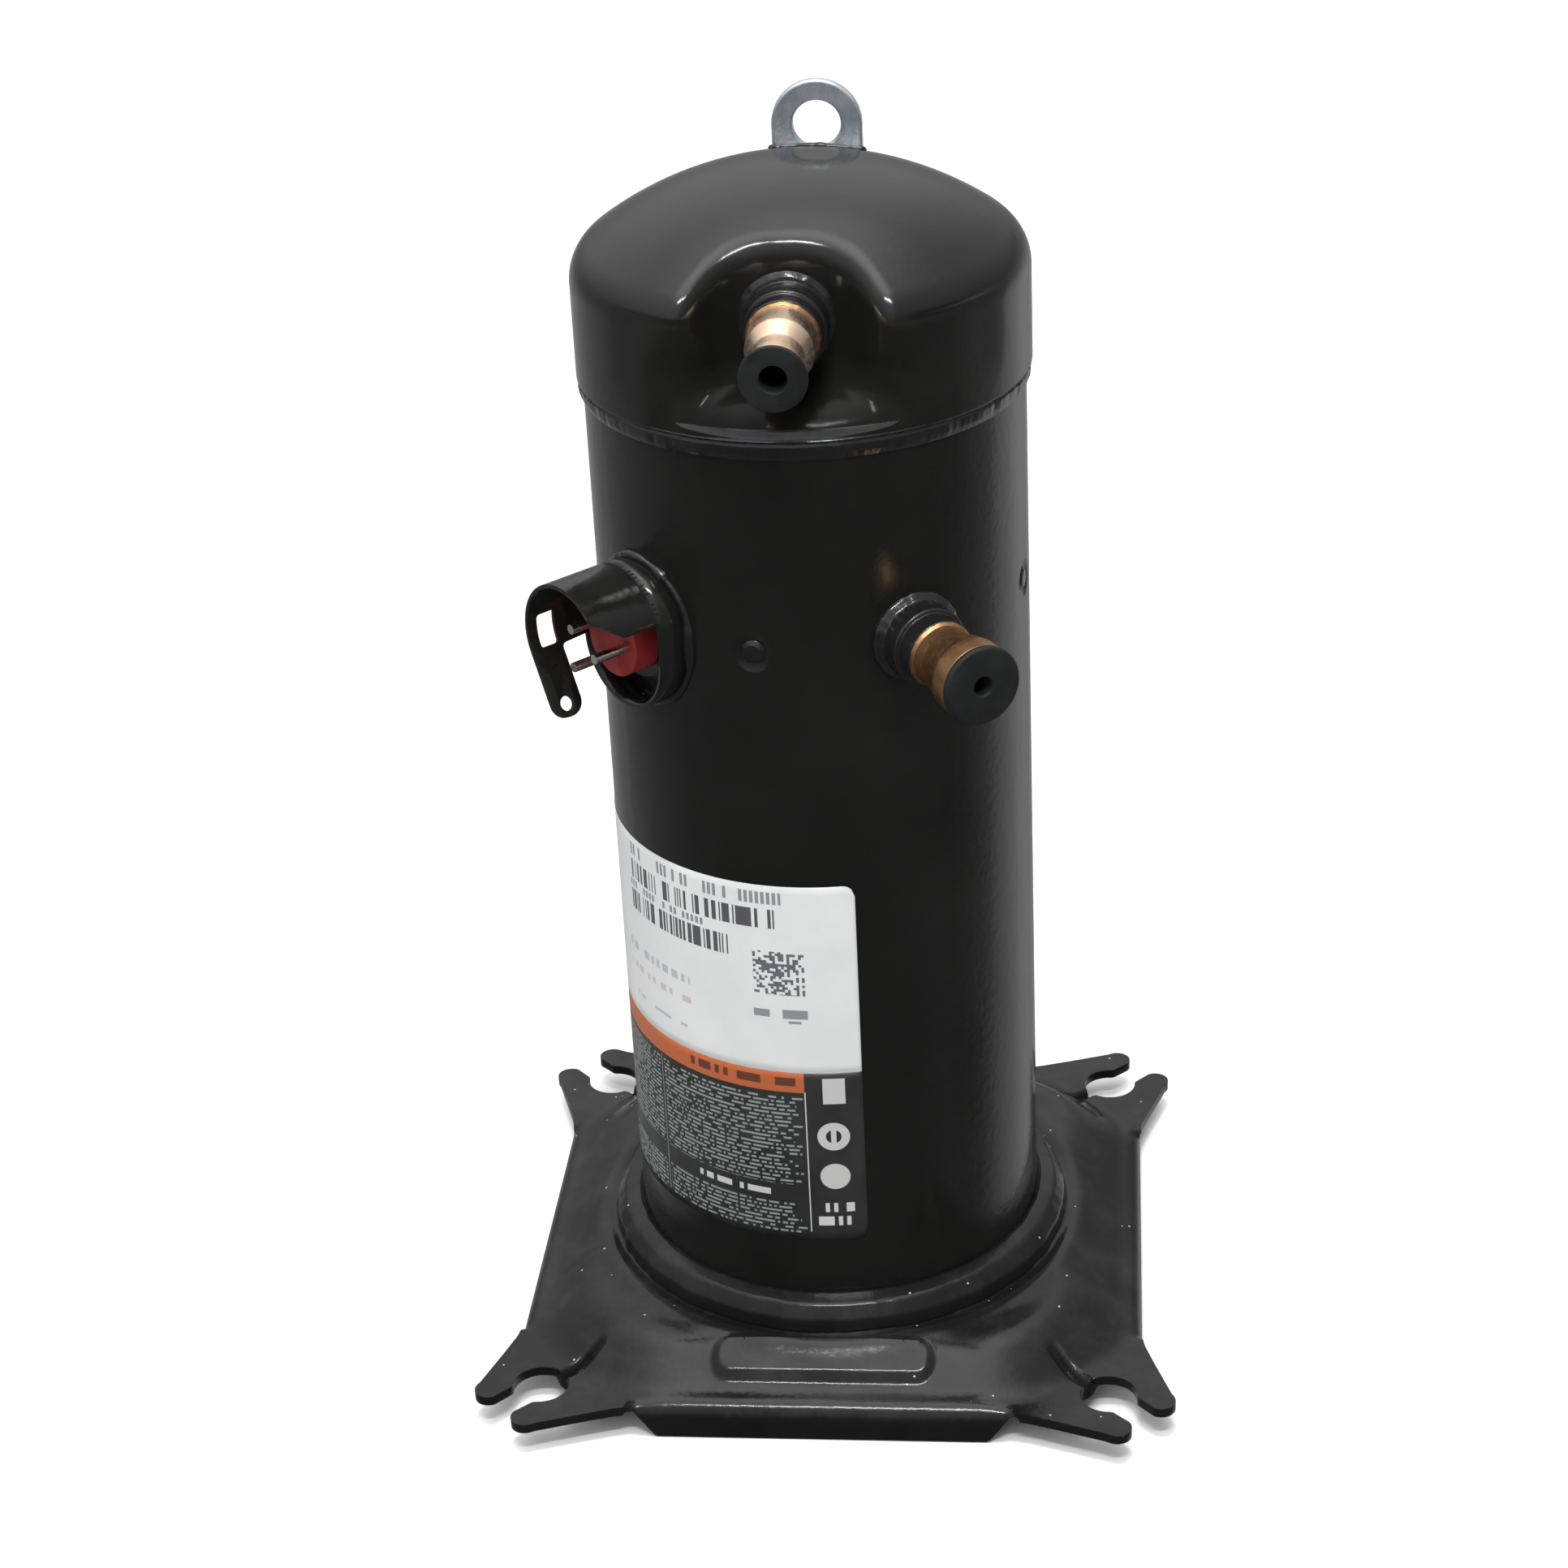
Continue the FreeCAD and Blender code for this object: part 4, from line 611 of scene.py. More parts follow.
def build_eye():
    """The tab with its bored hole, and the weld round its foot."""
    low, high = (np.array(corner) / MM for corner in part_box("lifting_eye"))
    middle, half = (low + high) / 2, (high[0] - low[0]) / 2
    arch = high[2] - half
    foot = dome_height(middle[0], middle[1]) - 1.5
    outline = [(-half, foot - arch), (half, foot - arch)]
    outline += [(half * math.cos(a), half * math.sin(a)) for a in np.linspace(0, math.pi, 40)]
    mesh = filled("eye_pattern", [outline, circle(EYE_HOLE_R, 0.0, EYE_HOLE_Z - arch)], high[1] - low[1], 0.8)
    flat = np.array([vertex.co for vertex in mesh.vertices]) / MM
    faces = [tuple(polygon.vertices) for polygon in mesh.polygons]
    bpy.data.meshes.remove(mesh)
    tab = np.array([middle[0], middle[1], arch]) + flat[:, [0, 2, 1]] * np.array([1.0, -1.0, 1.0])
    piece("eye_tab", tab, faces, zinc, ["lifting_eye"], slot="zinc_plate")

    out, back = half + 0.2, EYE_WELD_BACK
    ring = rounded([(-out, -back, 1.2), (out, -back, 1.2), (out, back, 1.2), (-out, back, 1.2)], True, 8)
    dense = []
    for start, end in zip(ring, np.roll(ring, -1, 0)):
        pieces_here = max(1, int(np.linalg.norm(end - start) / 0.8))
        dense += [start + (end - start) * k / pieces_here for k in range(pieces_here)]
    dense = np.array(dense) + middle[:2]
    centres = np.array([[x, y, dome_height(x, y) + 0.1] for x, y in dense])
    bead("eye_weld", centres, 0.95, 21, 0.3)


# ---- stubs and plugs ----


def build_stub(name, axes, copper, weld, lumps, skirt, fitting, tube, braze, plug):
    """A painted fitting, its copper tube, the fillet of filler metal between them, and a rubber plug."""

    def uneven(angles, radius, height):
        return 0.12 * lumps(angles) * (radius > skirt)

    turned(name + "_boss", fitting, axes, black_weld, [name + "_fitting"], wobble=weld)
    turned(name + "_copper", tube, axes, copper, [name + "_tube"], slot="copper")
    turned(name + "_braze", braze, axes, copper_dull, slot="copper", wobble=uneven)
    belongs = {"body": name + "_cap_plug", "slot": "plug_rubber"}
    turned(name + "_cap", plug, axes, plug_black, [name + "_plug"], **belongs)


def build_discharge():
    lumps = ripple(31, 46)

    def weld(angles, radius, height):
        return 0.3 * lumps(angles) if 13.2 < radius < 15.6 and height > 46.9 else np.zeros(len(angles))

    fitting = [
        (9.0, 46.1, 0), (15.7, 46.1, 0.2), (15.7, 47.2, 0.8), (14.2, 48.5, 0.9), (12.9, 48.8, 0.6),
        (12.75, 56.0, 1.1), (11.9, 56.4, 0.5), (11.75, 62.0, 0.9), (10.55, 62.0, 0.3), (10.55, 58.0, 0),
        (9.0, 58.0, 0),
    ]
    tube = [
        (10.5, 58.3, 0), (10.5, 73.5, 3.0), (8.0, 79.6, 2.4), (8.0, 84.0, 2.4), (9.4, 88.0, 2.4),
        (9.4, 94.5, 0.3), (8.25, 94.5, 0.3), (8.25, 88.2, 2.0), (6.85, 84.2, 2.0), (6.85, 79.4, 2.0),
        (9.35, 73.2, 2.4), (9.35, 58.3, 0),
    ]
    braze = [(10.45, 61.7, 0), (11.5, 61.7, 0.2), (10.5, 63.1, 0.4), (10.3, 62.7, 0)]
    plug = [
        (4.0, 89.2, 0), (8.1, 89.2, 0.5), (8.12, 94.6, 0), (10.2, 94.6, 0.3), (10.2, 96.0, 0.6),
        (4.3, 96.0, 0.5), (4.0, 95.2, 0),
    ]
    axes = axis_frame(0.0, DISCHARGE_Z)
    build_stub("discharge", axes, copper_bright, weld, lumps, 10.6, fitting, tube, braze, plug)


def build_suction():
    lumps = ripple(41, 60)

    def weld(angles, radius, height):
        return 0.25 * lumps(angles) if radius > 12.6 and height < 75 else np.zeros(len(angles))

    fitting = [
        (9.0, 66.5, 0), (14.6, 66.5, 0), (14.7, 70.4, 1.3), (12.6, 72.2, 1.0), (12.4, 79.0, 1.3),
        (11.2, 79.3, 0.4), (11.0, 86.0, 1.0), (9.95, 86.0, 0.3), (9.95, 80.0, 0), (9.0, 80.0, 0),
    ]
    tube = [
        (9.9, 80.2, 0), (9.9, 92.0, 6.0), (12.3, 102.5, 6.0), (12.3, 109.5, 0.35), (11.15, 109.5, 0.35),
        (11.15, 102.7, 5.0), (8.75, 92.2, 5.0), (8.75, 80.2, 0),
    ]
    braze = [(9.85, 85.7, 0), (10.9, 85.7, 0.2), (9.95, 87.2, 0.4), (9.75, 86.8, 0)]
    plug = [
        (2.9, 103.6, 0), (10.95, 103.6, 0.6), (11.0, 109.6, 0), (12.6, 109.6, 0.4), (12.6, 112.0, 0.9),
        (3.3, 112.0, 0.5), (2.9, 111.0, 0),
    ]
    axes = axis_frame(SUCTION_AZ, SUCTION_Z)
    build_stub("suction", axes, copper_dull, weld, lumps, 10.2, fitting, tube, braze, plug)


# ---- terminal cup ----

FENCE_R = 19.5
FENCE_SHEET = 1.3
FENCE_END = 101.0
FENCE_DROP = 9.0
RING_END = 78.5
TONGUE_ANGLE = 206.0
TONGUE_LENGTH = 23.0
WINDOW_TURN = (170.5, 205.0)
WINDOW_SPAN = (90.8, 97.4)


def fence_ring_points(radius, angles):
    """Two half circles a drop apart, joined by straight sides, as (sideways, up)."""
    down = np.where(np.sin(angles) < 0, FENCE_DROP, 0.0)
    return np.stack([radius * np.cos(angles), radius * np.sin(angles) - down], -1)


def build_fence():
    """A ring at the shell, and a hood rolled from a flat pattern that runs out straight as the tongue."""
    origin, outward, sideways, up = axis_frame(TERMINAL_AZ, FENCE_Z)
    middle_radius = FENCE_R - FENCE_SHEET / 2
    angles = np.radians(np.arange(0, 360, 4.0) + 1e-4)
    ring = fence_ring_points(middle_radius, angles)
    points = []
    for share in (0.0, 0.5, 1.0):
        for across, rise in ring:
            low = math.sqrt(SHELL_R**2 - across**2)
            points.append(origin + outward * (low + share * (RING_END - low)) + across * sideways + rise * up)
    faces = lattice(3, len(ring), False, True)
    thicken(piece("fence_ring", points, faces, black_gloss, ["terminal_fence"], 50.0), FENCE_SHEET, 0.0)

    arc = math.radians(1.0) * FENCE_R
    leave = TONGUE_ANGLE * arc
    corners = [
        (15.0 * arc, 77.0, 0), (15.0 * arc, 91.0, 2.0), (39.0 * arc, FENCE_END, 2.5),
        (leave + TONGUE_LENGTH, FENCE_END, 5.0), (leave + TONGUE_LENGTH, 89.8, 5.0),
        (leave + 0.6, 89.8, 1.5), (leave, 77.0, 0),
    ]
    left, right = WINDOW_TURN[0] * arc, WINDOW_TURN[1] * arc
    low, high = WINDOW_SPAN
    window = rounded([(left, low, 1), (right, low, 1), (right, high, 1), (left, high, 1)], True, 4)
    mesh = filled("fence_pattern", (rounded(corners), window, circle(2.4, leave + 18.6, 95.4, 28)))
    work = bmesh.new()
    work.from_mesh(mesh)
    bpy.data.meshes.remove(mesh)
    cuts = [((angle * arc * MM, 0, 0), (1, 0, 0)) for angle in np.arange(20.0, TONGUE_ANGLE + 1, 5.0)]
    cuts += [((0, level * MM, 0), (0, 1, 0)) for level in np.arange(81.0, FENCE_END, 4.0)]
    for place, normal in cuts:
        geometry = work.verts[:] + work.edges[:] + work.faces[:]
        bmesh.ops.bisect_plane(work, geom=geometry, plane_co=place, plane_no=normal)
    last = math.radians(TONGUE_ANGLE)
    points = []
    for vertex in work.verts:
        along = vertex.co.x / MM
        angle = min(along / FENCE_R, last)
        past = max(0.0, along - leave)
        across = middle_radius * math.cos(angle) - past * math.sin(angle)
        rise = middle_radius * math.sin(angle) + past * math.cos(angle)
        points.append(origin + outward * (vertex.co.y / MM) + across * sideways + rise * up)
    work.verts.index_update()
    faces = [tuple(vertex.index for vertex in face.verts) for face in work.faces]
    work.free()
    made = piece("fence_cup", points, faces, black_gloss, crease=50.0)
    made.modifiers.new("weld", "WELD").merge_threshold = 0.02 * MM
    thicken(made, FENCE_SHEET, 0.0)
    soften(made, 0.35, 60)

    centres = []
    for across, rise in fence_ring_points(FENCE_R + 0.2, np.radians(np.arange(0, 360, 3.0) + 1e-4)):
        foot = outward * (math.sqrt(SHELL_R**2 - across**2) + 0.4)
        centres.append(origin + foot + across * sideways + rise * up)
    normals = np.tile(outward, (len(centres), 1))
    bead("fence_weld", np.array(centres), 1.5, 51, 0.35, normals)


def build_stakes():
    """The four staked spots that hold the bearing housing: a low button in each dimple."""
    profile = [(0.02, 68.2, 0), (4.2, 68.2, 0.2), (3.9, 69.0, 0.5), (2.6, 69.9, 0.9), (0.02, 70.1, 0)]
    for index in range(4):
        axes = axis_frame(DIMPLE_AZ + 90.0 * index, DIMPLE_Z)
        turned("stake_%d" % (index + 1), profile, axes, black_weld, segments=48)


# ---- mounting plate ----

PLATE_HALF = 106.6
EAR_TOP = 12.0
SHEET = 3.4
CROWN_TOP = 24.5
HOLE_CENTRE = 95.25
HOLE_R = 9.5
MOUTH = 5.8
FLANGE_HALF = 62.0
BEND_R = 5.0
BEND_START = PLATE_HALF - BEND_R
FLANGE_FLAT = BEND_START + BEND_R * math.pi / 2 + (EAR_TOP - BEND_R)


def arc_through(first, middle, last, steps):
    """Points of the circle through three points, from the first to the last."""
    (ax, ay), (bx, by), (cx, cy) = first, middle, last
    scale = 2 * (ax * (by - cy) + bx * (cy - ay) + cx * (ay - by))
    a, b, c = ax * ax + ay * ay, bx * bx + by * by, cx * cx + cy * cy
    x = (a * (by - cy) + b * (cy - ay) + c * (ay - by)) / scale
    y = (a * (cx - bx) + b * (ax - cx) + c * (bx - ax)) / scale
    radius = math.hypot(ax - x, ay - y)
    start, via, end = (math.atan2(q - y, p - x) for p, q in (first, middle, last))
    via, end = (via - start) % TAU, (end - start) % TAU
    if via > end:
        end -= TAU
    turns = start + end * np.linspace(0, 1, steps)
    return [(x + radius * math.cos(t), y + radius * math.sin(t)) for t in turns]


def plate_outline():
    """The plate's flat pattern: two prongs round an open hole at each corner, and a tab on each side."""
    diagonal = math.sqrt(0.5)

    def place(out, across):
        return (HOLE_CENTRE + (out + across) * diagonal, HOLE_CENTRE + (out - across) * diagonal)

    reach = math.sqrt(HOLE_R**2 - MOUTH**2)
    opening = math.atan2(MOUTH, reach)
    arc = [place(HOLE_R * math.cos(a), HOLE_R * math.sin(a)) for a in np.linspace(opening, TAU - opening, 30)]
    tip = arc_through(place(14.6, 15.1), place(18.8, 11.9), place(15.5, 5.5), 16)
    quarter = [
        (FLANGE_FLAT, 55.5, 1.5), (BEND_START + 6.0, FLANGE_HALF, 1.0),
        (PLATE_HALF + 0.2, FLANGE_HALF + 3.0, 1.5), (107.4, 68.5, 10.0), (110.8, 79.0, 12.0), (*tip[0], 3.0),
    ]
    quarter += [(*point, 0.0) for point in tip[1:-1]]
    quarter += [(*tip[-1], 1.0)]
    mirrored = [(y, x, r) for x, y, r in quarter]
    quarter += [(*point, 0.0) for point in arc]
    quarter += mirrored[::-1]
    corners = []
    for turn in range(4):
        cos, sin = (1, 0, -1, 0)[turn], (0, 1, 0, -1)[turn]
        corners += [(x * cos - y * sin, x * sin + y * cos, r) for x, y, r in quarter]
    return rounded(corners, True, 6)


def polygon_field(outline, x, y):
    """Signed distance of grid points from a polygon, negative inside."""
    nearest = np.full(x.shape, 1e9)
    inside = np.zeros(x.shape, bool)
    for (ax, ay), (bx, by) in zip(outline, np.roll(outline, -1, 0)):
        ex, ey = bx - ax, by - ay
        length = ex * ex + ey * ey
        if length < 1e-12:
            continue
        share = np.clip(((x - ax) * ex + (y - ay) * ey) / length, 0, 1)
        nearest = np.minimum(nearest, np.hypot(x - ax - share * ex, y - ay - share * ey))
        inside ^= ((ay > y) != (by > y)) & (x < (bx - ax) * (y - ay) / (by - ay if by != ay else 1e-12) + ax)
    return np.where(inside, -nearest, nearest)


def soft_step(value):
    value = np.clip(value, 0, 1)
    return value * value * value * (value * (value * 6 - 15) + 10)


def box_field(x, y, half_x, half_y, radius):
    """Signed distance from a rounded rectangle round the origin."""
    dx, dy = np.abs(x) - half_x + radius, np.abs(y) - half_y + radius
    return np.hypot(np.maximum(dx, 0), np.maximum(dy, 0)) + np.minimum(np.maximum(dx, dy), 0) - radius


def plate_height(x, y):
    """Height of the pressed plate's top surface."""
    ax, ay = np.abs(x), np.abs(y)
    along_x, along_y = (ax - 82.0) / 20.0, (ay - 82.0) / 20.0
    diagonal = ((ax + ay) * math.sqrt(0.5) - 104.0) / 15.0
    fall = smooth_max(smooth_max(along_x, along_y, 0.6), diagonal, 0.8)
    slope = np.clip(fall, -0.2, 1.2)
    ease = 0.26
    below = np.clip(slope + ease, 0, None) ** 2 / (4 * ease)
    above = 1 - np.clip(1 + ease - slope, 0, None) ** 2 / (4 * ease)
    eased = np.where(slope < ease, below, np.where(slope > 1 - ease, above, slope))
    height = CROWN_TOP - (CROWN_TOP - EAR_TOP) * eased
    radius = np.hypot(x, y)
    ring, gutter = np.exp(-(((radius - 86.5) / 3.4) ** 2)), np.exp(-(((radius - 81.0) / 1.6) ** 2))
    height = height + 0.7 * ring - 0.8 * gutter
    front = box_field(x, ay - 89.5, 37.0, 6.4, 5.6)
    height = height + 2.0 * (1 - soft_step((front + 1.9) / 2.4))
    gx, gy = ax - GROOVE_START[0], ay - GROOVE_START[1]
    share = np.clip(gx * GROOVE_RUN[0] + gy * GROOVE_RUN[1], 0, GROOVE_LENGTH)
    off = np.hypot(gx - share * GROOVE_RUN[0], gy - share * GROOVE_RUN[1])
    return height - 3.4 * np.exp(-((off / 1.7) ** 4))


def build_plate():
    """The pressing from its flat pattern: cells inside the outline, raised, then bent down at the tabs."""
    outline = plate_outline()
    step = 1.1
    count = int(2 * (FLANGE_FLAT + 6) / step) + 1
    line = (np.arange(count) - (count - 1) / 2) * step
    gx, gy = np.meshgrid(line, line, indexing="ij")
    field = np.maximum(polygon_field(outline, gx, gy), SHELL_R + 0.1 - np.hypot(gx, gy))
    field = np.where(np.abs(field) < 0.06, -0.06, field)
    points, index_of, faces = [], {}, []

    def corner(i, j):
        key = (i, j)
        if key not in index_of:
            index_of[key] = len(points)
            points.append((gx[i, j], gy[i, j]))
        return index_of[key]

    def crossing(a, b):
        key = (a, b) if a < b else (b, a)
        if key not in index_of:
            (i, j), (k, m) = key
            share = field[i, j] / (field[i, j] - field[k, m])
            index_of[key] = len(points)
            x, y = gx[i, j] + share * (gx[k, m] - gx[i, j]), gy[i, j] + share * (gy[k, m] - gy[i, j])
            points.append((x, y))
        return index_of[key]

    inside = field < 0
    for i in range(count - 1):
        for j in range(count - 1):
            around = ((i, j), (i + 1, j), (i + 1, j + 1), (i, j + 1))
            states = [inside[place] for place in around]
            if not any(states):
                continue
            loop = []
            for index, here in enumerate(around):
                if states[index]:
                    loop.append(corner(*here))
                if states[index] != states[index - 3]:
                    loop.append(crossing(here, around[index - 3]))
            if len(loop) > 2:
                faces.append(tuple(loop))
    flat = np.array(points)
    x, y = flat[:, 0], flat[:, 1]
    height = plate_height(x, y)
    placed = [x.copy(), y.copy()]
    for axis, other in ((0, y), (1, x)):
        value = placed[axis].copy()
        over = np.abs(value) - BEND_START
        weight = np.clip((FLANGE_HALF + 3.0 - np.abs(other)) / 3.0, 0, 1) * (over > 0)
        turn = np.clip(over / BEND_R, 0, math.pi / 2)
        straight = np.clip(over - BEND_R * math.pi / 2, 0, None)
        bent = BEND_START + BEND_R * np.sin(turn)
        fall = BEND_R * (1 - np.cos(turn)) + straight
        moved = np.sign(value) * (weight * bent + (1 - weight) * np.abs(value))
        placed[axis] = np.where(over > 0, moved, value)
        height = height - np.where(over > 0, weight * fall, 0)
    grid = np.stack([placed[0], placed[1], height], -1)
    made = piece("base_pressing", grid, faces, black_plate, ["base_plate"], 55.0)
    thicken(made, SHEET)
    soften(made, 0.8, 62)
    lumps, small = ripple(61, 90), ripple(62, 300)

    def wobble(angles, radius, height):
        return 0.25 * lumps(angles) + 0.12 * small(angles) if radius > 71 else np.zeros(len(angles))

    collar = [
        (SHELL_R + 0.05, 33.4, 0), (71.4, 34.0, 1.0), (76.2, 32.8, 3.4), (79.3, 28.6, 3.4), (80.2, 24.4, 1.0),
        (79.0, 21.5, 0), (SHELL_R + 0.05, 21.5, 0),
    ]
    turned("base_collar", collar, UPRIGHT, black_plate, segments=360, steps=5, wobble=wobble)


# ---- label ----

LABEL_LEFT, LABEL_RIGHT = -102.0, 12.5
LABEL_BOTTOM, LABEL_SPLIT, LABEL_TOP = 55.0, 120.5, 190.0
LABEL_R = 70.04
LABEL_CORNER = 4.0


def arc_length(azimuth):
    return math.radians(azimuth) * LABEL_R


def build_label(name, bottom, top, material, slot, round_top):
    """A film patch round the shell, with map coordinates in millimetres: arc length and height."""
    columns, rows = 120, 24
    points, coordinates = [], []
    for row in range(rows):
        for column in range(columns):
            azimuth = LABEL_LEFT + (LABEL_RIGHT - LABEL_LEFT) * (column / (columns - 1)) ** 0.92
            edge = min(arc_length(LABEL_RIGHT - azimuth), arc_length(azimuth - LABEL_LEFT))
            inset = max(0.0, LABEL_CORNER - edge)
            drop = LABEL_CORNER - math.sqrt(LABEL_CORNER**2 - inset**2)
            high = top - (drop if round_top else 0.0)
            low = bottom + (0.0 if round_top else drop)
            z = low + (high - low) * row / (rows - 1)
            angle = math.radians(azimuth)
            points.append((LABEL_R * math.sin(angle), -LABEL_R * math.cos(angle), z))
            coordinates.append((arc_length(azimuth), z))
    faces = lattice(rows, columns, False, False)
    made = piece(name + "_film", points, faces, material, [name + "_label"], slot=slot)
    layer = made.data.uv_layers.new(name="millimetres")
    for loop in made.data.loops:
        layer.data[loop.index].uv = coordinates[loop.vertex_index]
    thicken(made, 0.14)


class Print(Surface):
    """A film whose pattern is set out in millimetres of arc length (u) and height (v)."""

    def __init__(self, name, color, roughness, first, second):
        super().__init__(name, color, roughness)
        self.u, self.v = self.split(self.place("UV"))[:2]
        self.tone = self.mix(self.noise(40.0).remap(0.4, 0.7), first, second)

    def within(self, value, low, high):
        return (value > low) * (value < high)

    def area(self, left, right, bottom, top):
        return self.within(self.u, left, right) * self.within(self.v, bottom, top)

    def sector(self, left, right, bottom, top):
        """An area between two azimuths."""
        return self.area(arc_length(left), arc_length(right), bottom, top)

    def cells(self, width, height, seed):
        """A random value for each cell of a grid of that cell size, or for each column."""
        across = (self.u * (1 / width)).act("FLOOR")
        upward = (self.v * (1 / height)).act("FLOOR") if height else seed
        spot = self.value("CombineXYZ", {0: across, 1: upward, 2: seed})
        return self.value("TexWhiteNoise", {"Vector": spot}, "Value", noise_dimensions="3D")

    def ink(self, mask, color):
        self.tone = self.mix(mask, self.tone, color)

    def dry(self, smoothest, roughest):
        """Finish the print with its colour, its uneven gloss and a faint grain."""
        self.set("Base Color", self.tone)
        self.set("Roughness", self.noise(60.0).remap(0.3, 0.7, smoothest, roughest))
        self.bump(self.noise(900.0, 2.0), 0.05, 0.0001)
        return self.material


def rating_print():
    """White film with bars, a chequered code and faint lines, all of them meaningless."""
    film = Print("label_white", (0.55, 0.56, 0.555), 0.34, (0.53, 0.54, 0.54), (0.57, 0.575, 0.57))
    for area, seed in (((-61.0, -8.7, 174.3, 181.3), 1.0), ((-62.0, -22.5, 162.4, 169.8), 2.0)):
        film.ink(film.sector(*area) * (film.cells(0.55, 0, seed) > 0.45), (0.07, 0.07, 0.075))
    gap = (film.u * (1 / 1.9)).act("FRACT") < 0.62
    for area, seed in (((-61.0, -7.0, 183.2, 187.6), 3.0), ((-62.0, -30.0, 170.9, 173.4), 4.0)):
        film.ink(film.sector(*area) * ((film.cells(1.9, 0, seed) > 0.25) * gap), (0.2, 0.2, 0.21))
    modules = film.cells(0.95, 0.95, 5.0) > 0.5
    film.ink(film.sector(-15.6, -1.6, 149.8, 165.9) * modules, (0.1, 0.1, 0.11))
    for area in ((-16.0, -11.5, 141.2, 144.0), (-8.0, -1.2, 141.0, 144.4), (-6.5, -3.0, 139.2, 140.2)):
        film.ink(film.sector(*area), (0.2, 0.2, 0.21))
    faint = (
        (146.0, 149.0, (0.36, 0.36, 0.38), 7.0),
        (138.5, 141.0, (0.46, 0.37, 0.38), 8.0),
        (128.6, 129.8, (0.37, 0.37, 0.39), 9.0),
    )
    for bottom, top, tint, seed in faint:
        film.ink(film.sector(-66.0, -36.0, bottom, top) * (film.cells(1.6, 0, seed) > 0.45), tint)
    return film.dry(0.28, 0.42)


def notice_print():
    """Dark film with an orange band, grey lines and a column of plain white shapes."""
    film = Print("label_dark", (0.03, 0.03, 0.03), 0.36, (0.017, 0.0175, 0.017), (0.027, 0.028, 0.027))
    split, rule, far = arc_length(-50.5), arc_length(-3.0), arc_length(LABEL_LEFT)
    line = 1.55
    letters = ((film.v * (1 / line)).act("FRACT") < 0.5) * (film.cells(0.9, line, 11.0) > 0.3)
    ragged = film.u < film.cells(500.0, line, 12.0) * 6.5 + (rule - 7.0)
    for bottom, top in ((76.5, 111.0), (57.0, 69.5)):
        film.ink(film.area(split + 1.2, rule - 0.8, bottom, top) * (letters * ragged), (0.2, 0.215, 0.21))
        film.ink(film.area(far + 3, split - 1.2, bottom, top) * letters, (0.2, 0.215, 0.21))
    film.ink(film.sector(-38.0, -14.0, 71.6, 74.0) * (film.cells(1.5, 0, 13.0) > 0.3), (0.42, 0.42, 0.42))
    film.ink(film.area(far, rule - 0.2, 112.8, 121.0), (0.36, 0.085, 0.022))
    darker = film.area(arc_length(-40.0), rule - 3.0, 115.2, 118.4) * (film.cells(1.7, 0, 14.0) > 0.35)
    film.ink(darker, (0.1, 0.028, 0.016))
    film.ink(film.area(rule - 0.25, rule + 0.15, 58.0, 113.0), (0.42, 0.42, 0.41))
    film.ink(film.area(split - 0.2, split + 0.15, 58.0, 112.0), (0.2, 0.2, 0.2))
    white = (0.4, 0.4, 0.395)
    centre = arc_length(4.2)
    film.ink(film.area(centre - 3.0, centre + 4.4, 108.6, 118.4), white)
    for middle, radius, hollow in ((95.9, 5.4, 2.6), (80.2, 5.0, 0.0)):
        film.ink(film.within((film.u - centre).hypot(film.v - middle), hollow, radius), white)
        if hollow:
            film.ink(film.area(centre - 0.9, centre + 0.9, middle - 5.0, middle + 5.0), white)
    for bottom in (66.0, 60.6):
        blocks = film.area(centre - 6.2, centre + 6.0, bottom, bottom + 3.6)
        film.ink(blocks * (film.cells(1.4, 0, bottom) > 0.35), (0.45, 0.45, 0.44))
    return film.dry(0.26, 0.4)


# ---- building it ----

build_cap()
build_cap_weld()
build_eye()
build_discharge()
build_suction()
build_fence()
build_stakes()
build_plate()
build_label("rating", LABEL_SPLIT, LABEL_TOP, rating_print(), "label_white", True)
build_label("notice", LABEL_BOTTOM, LABEL_SPLIT, notice_print(), "label_dark", False)

slot_of = {part["node"]: part["material_slot"] for part in frame["record"]["subparts"]}
for name, node in frame["nodes"].items():
    if not node.hide_render:
        node.data.materials.clear()
        node.data.materials.append(INNER[slot_of[name]])


# ---- stage, light and camera ----

SKY_STEPS = (
    (0.0, 0.12), (0.36, 0.22), (0.47, 0.18), (0.55, 0.3), (0.75, 0.8), (0.87, 1.05), (0.95, 2.0), (1.0, 4.0)
)
FLOOR_HALF = 14.0
CAMERA_AT = (0.0979, -1.0128, 0.7196)
CAMERA_ANGLES = (-6.255, 27.44, -2.89)
CAMERA_LENS = 78.6


def area_light(name, place, aim_at, width, height, power, glossy=False):
    data = bpy.data.lights.new(name, "AREA")
    data.shape = "RECTANGLE"
    data.size, data.size_y = width, height
    data.energy = power
    made = bpy.data.objects.new(name, data)
    show(made)
    made.location = place
    made.rotation_euler = (Vector(aim_at) - Vector(place)).to_track_quat("-Z", "Y").to_euler()
    made.visible_glossy = glossy
    made.visible_camera = False


def build_floor():
    half = FLOOR_HALF
    mesh = bpy.data.meshes.new("floor")
    corners = [(-half, -half, 0), (half, -half, 0), (half, half, 0), (-half, half, 0)]
    mesh.from_pydata(corners, [], [(0, 1, 2, 3)])
    floor = bpy.data.objects.new("floor", mesh)
    floor.location.z = cad_low.z - 0.0004
    show(floor)
    ground = Surface("floor_pale", (0.86, 0.86, 0.86), 0.9, specular=0.1)
    ground.set("Base Color", ground.mix(ground.noise(0.8), (0.85, 0.85, 0.85), (0.88, 0.88, 0.88)))
    mesh.materials.append(ground.material)
    floor.visible_glossy = False


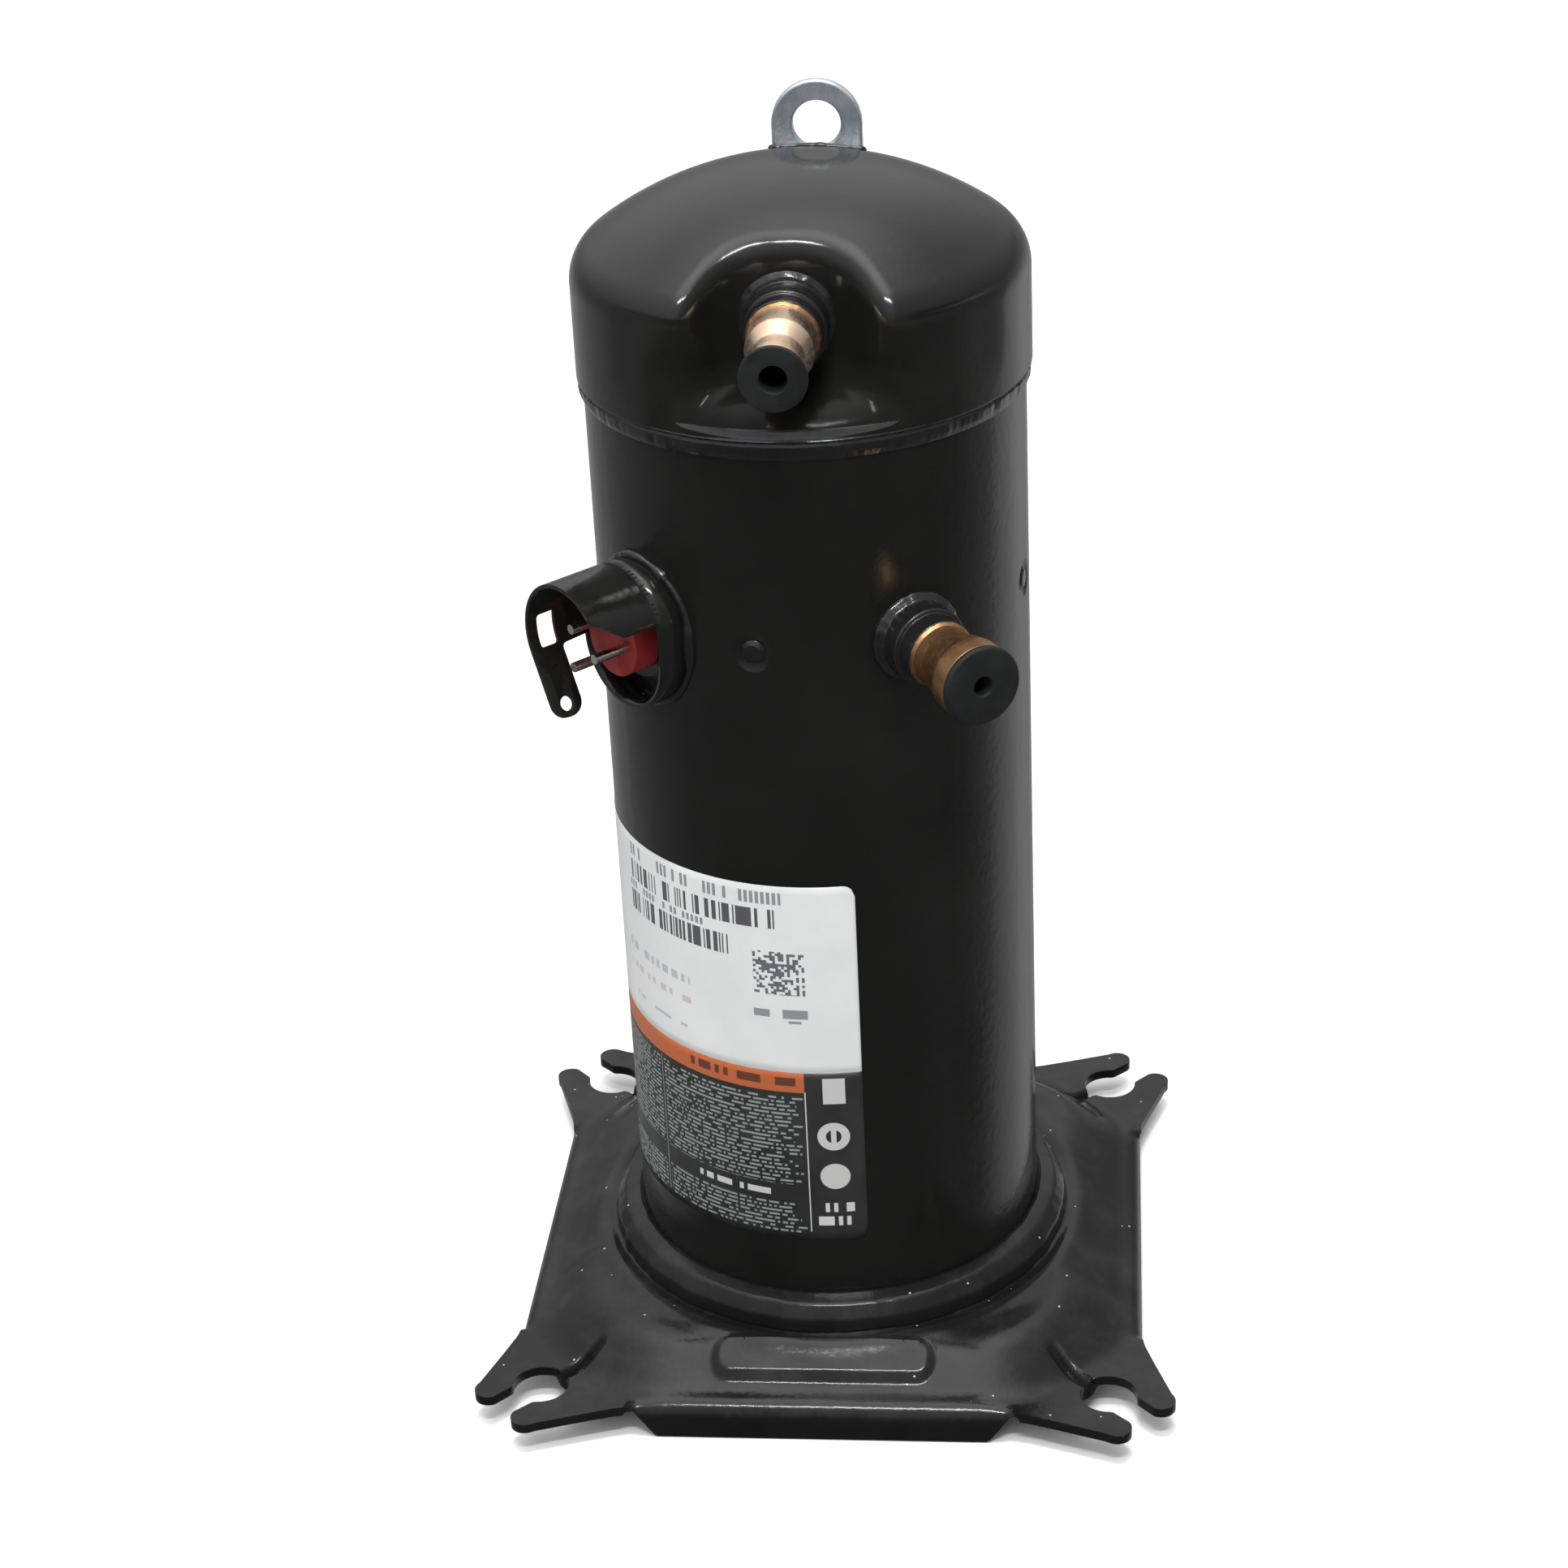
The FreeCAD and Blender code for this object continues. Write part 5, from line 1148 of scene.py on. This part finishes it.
def build_sky():
    """A studio in grey steps from the floor up, with a brighter rear and a bright band on the right."""
    world = bpy.data.worlds.new("studio")
    bpy.context.scene.world = world
    world.use_nodes = True
    sky = Graph(world.node_tree)
    sky.tree.nodes.clear()
    x, y, z = sky.split(sky.place("Generated"))
    ramp = sky.node("ValToRGB", {"Fac": z.remap(-1.0, 1.0)})
    elements = ramp.color_ramp.elements
    while len(elements) < len(SKY_STEPS):
        elements.new(0.5)
    for element, (position, level) in zip(elements, SKY_STEPS):
        element.position = position
        element.color = (level, level, level * 1.01, 1.0)
    low_share = z.smooth(-0.25, 0.05, 1.0, 0.0)
    right_band = x.smooth(0.25, 0.6, 0.0, 1.6) * y.smooth(-0.1, 0.4, 0.0, 1.0)
    sides = (y.smooth(-0.75, 0.5, 0.3, 1.45) + right_band) * x.smooth(0.78, 0.86, 1.0, 0.55)
    level = (sides * low_share + (1.0 - low_share)) * y.smooth(0.2, 0.9, 1.0, 1.2)
    shaded = x.smooth(0.1, 0.5, 0.0, 0.5) * z.smooth(0.0, 0.15, 0.0, 1.0)
    ray = sky.node("LightPath", {})
    softened = Value(sky, ray.outputs["Is Diffuse Ray"]).smooth(0.0, 1.0, 1.0, 0.72)
    level = level * (1.0 - shaded) * softened
    steps = Value(sky, ramp.outputs["Color"])
    studio = sky.value("Background", {"Color": steps, "Strength": level})
    plain = sky.value("Background", {"Color": (0.95, 0.95, 0.95)})
    seen = Value(sky, ray.outputs["Is Camera Ray"])
    blend = sky.value("MixShader", {0: seen, 1: studio, 2: plain})
    sky.node("OutputWorld", {"Surface": blend})


def build_lights():
    middle = (0.0, 0.0, 0.24)
    area_light("overhead", (0.05, -0.35, 1.9), (0.0, -0.05, 0.3), 0.3, 0.14, 12.0)
    area_light("front_strip", (0.1, -1.25, 2.3), (0.0, -0.1, 0.1), 0.9, 0.06, 26.0, glossy=True)
    area_light("front_fill", (-0.5, -2.3, 1.5), middle, 1.6, 1.2, 9.0)
    area_light("left_wall", (-1.7, 0.6, 0.75), middle, 0.6, 1.8, 8.0)
    area_light("right_wall", (1.7, 0.5, 0.75), middle, 0.6, 1.8, 8.0)


def build_camera():
    yaw, pitch, roll = (math.radians(angle) for angle in CAMERA_ANGLES)
    forward = Vector((math.sin(yaw) * math.cos(pitch), math.cos(yaw) * math.cos(pitch), -math.sin(pitch)))
    right = Vector((math.cos(yaw), -math.sin(yaw), 0))
    up = right.cross(forward)
    across = math.cos(roll) * right + math.sin(roll) * up
    above = -math.sin(roll) * right + math.cos(roll) * up
    data = bpy.data.cameras.new("camera")
    data.sensor_width = 36.0
    data.lens = CAMERA_LENS
    camera = bpy.data.objects.new("camera", data)
    show(camera)
    turn = Matrix((across, above, -forward)).transposed()
    camera.matrix_world = Matrix.Translation(Vector(CAMERA_AT)) @ turn.to_4x4()
    bpy.context.scene.camera = camera


build_floor()
build_sky()
build_lights()
build_camera()
bpy.context.scene.view_settings.view_transform = "Standard"
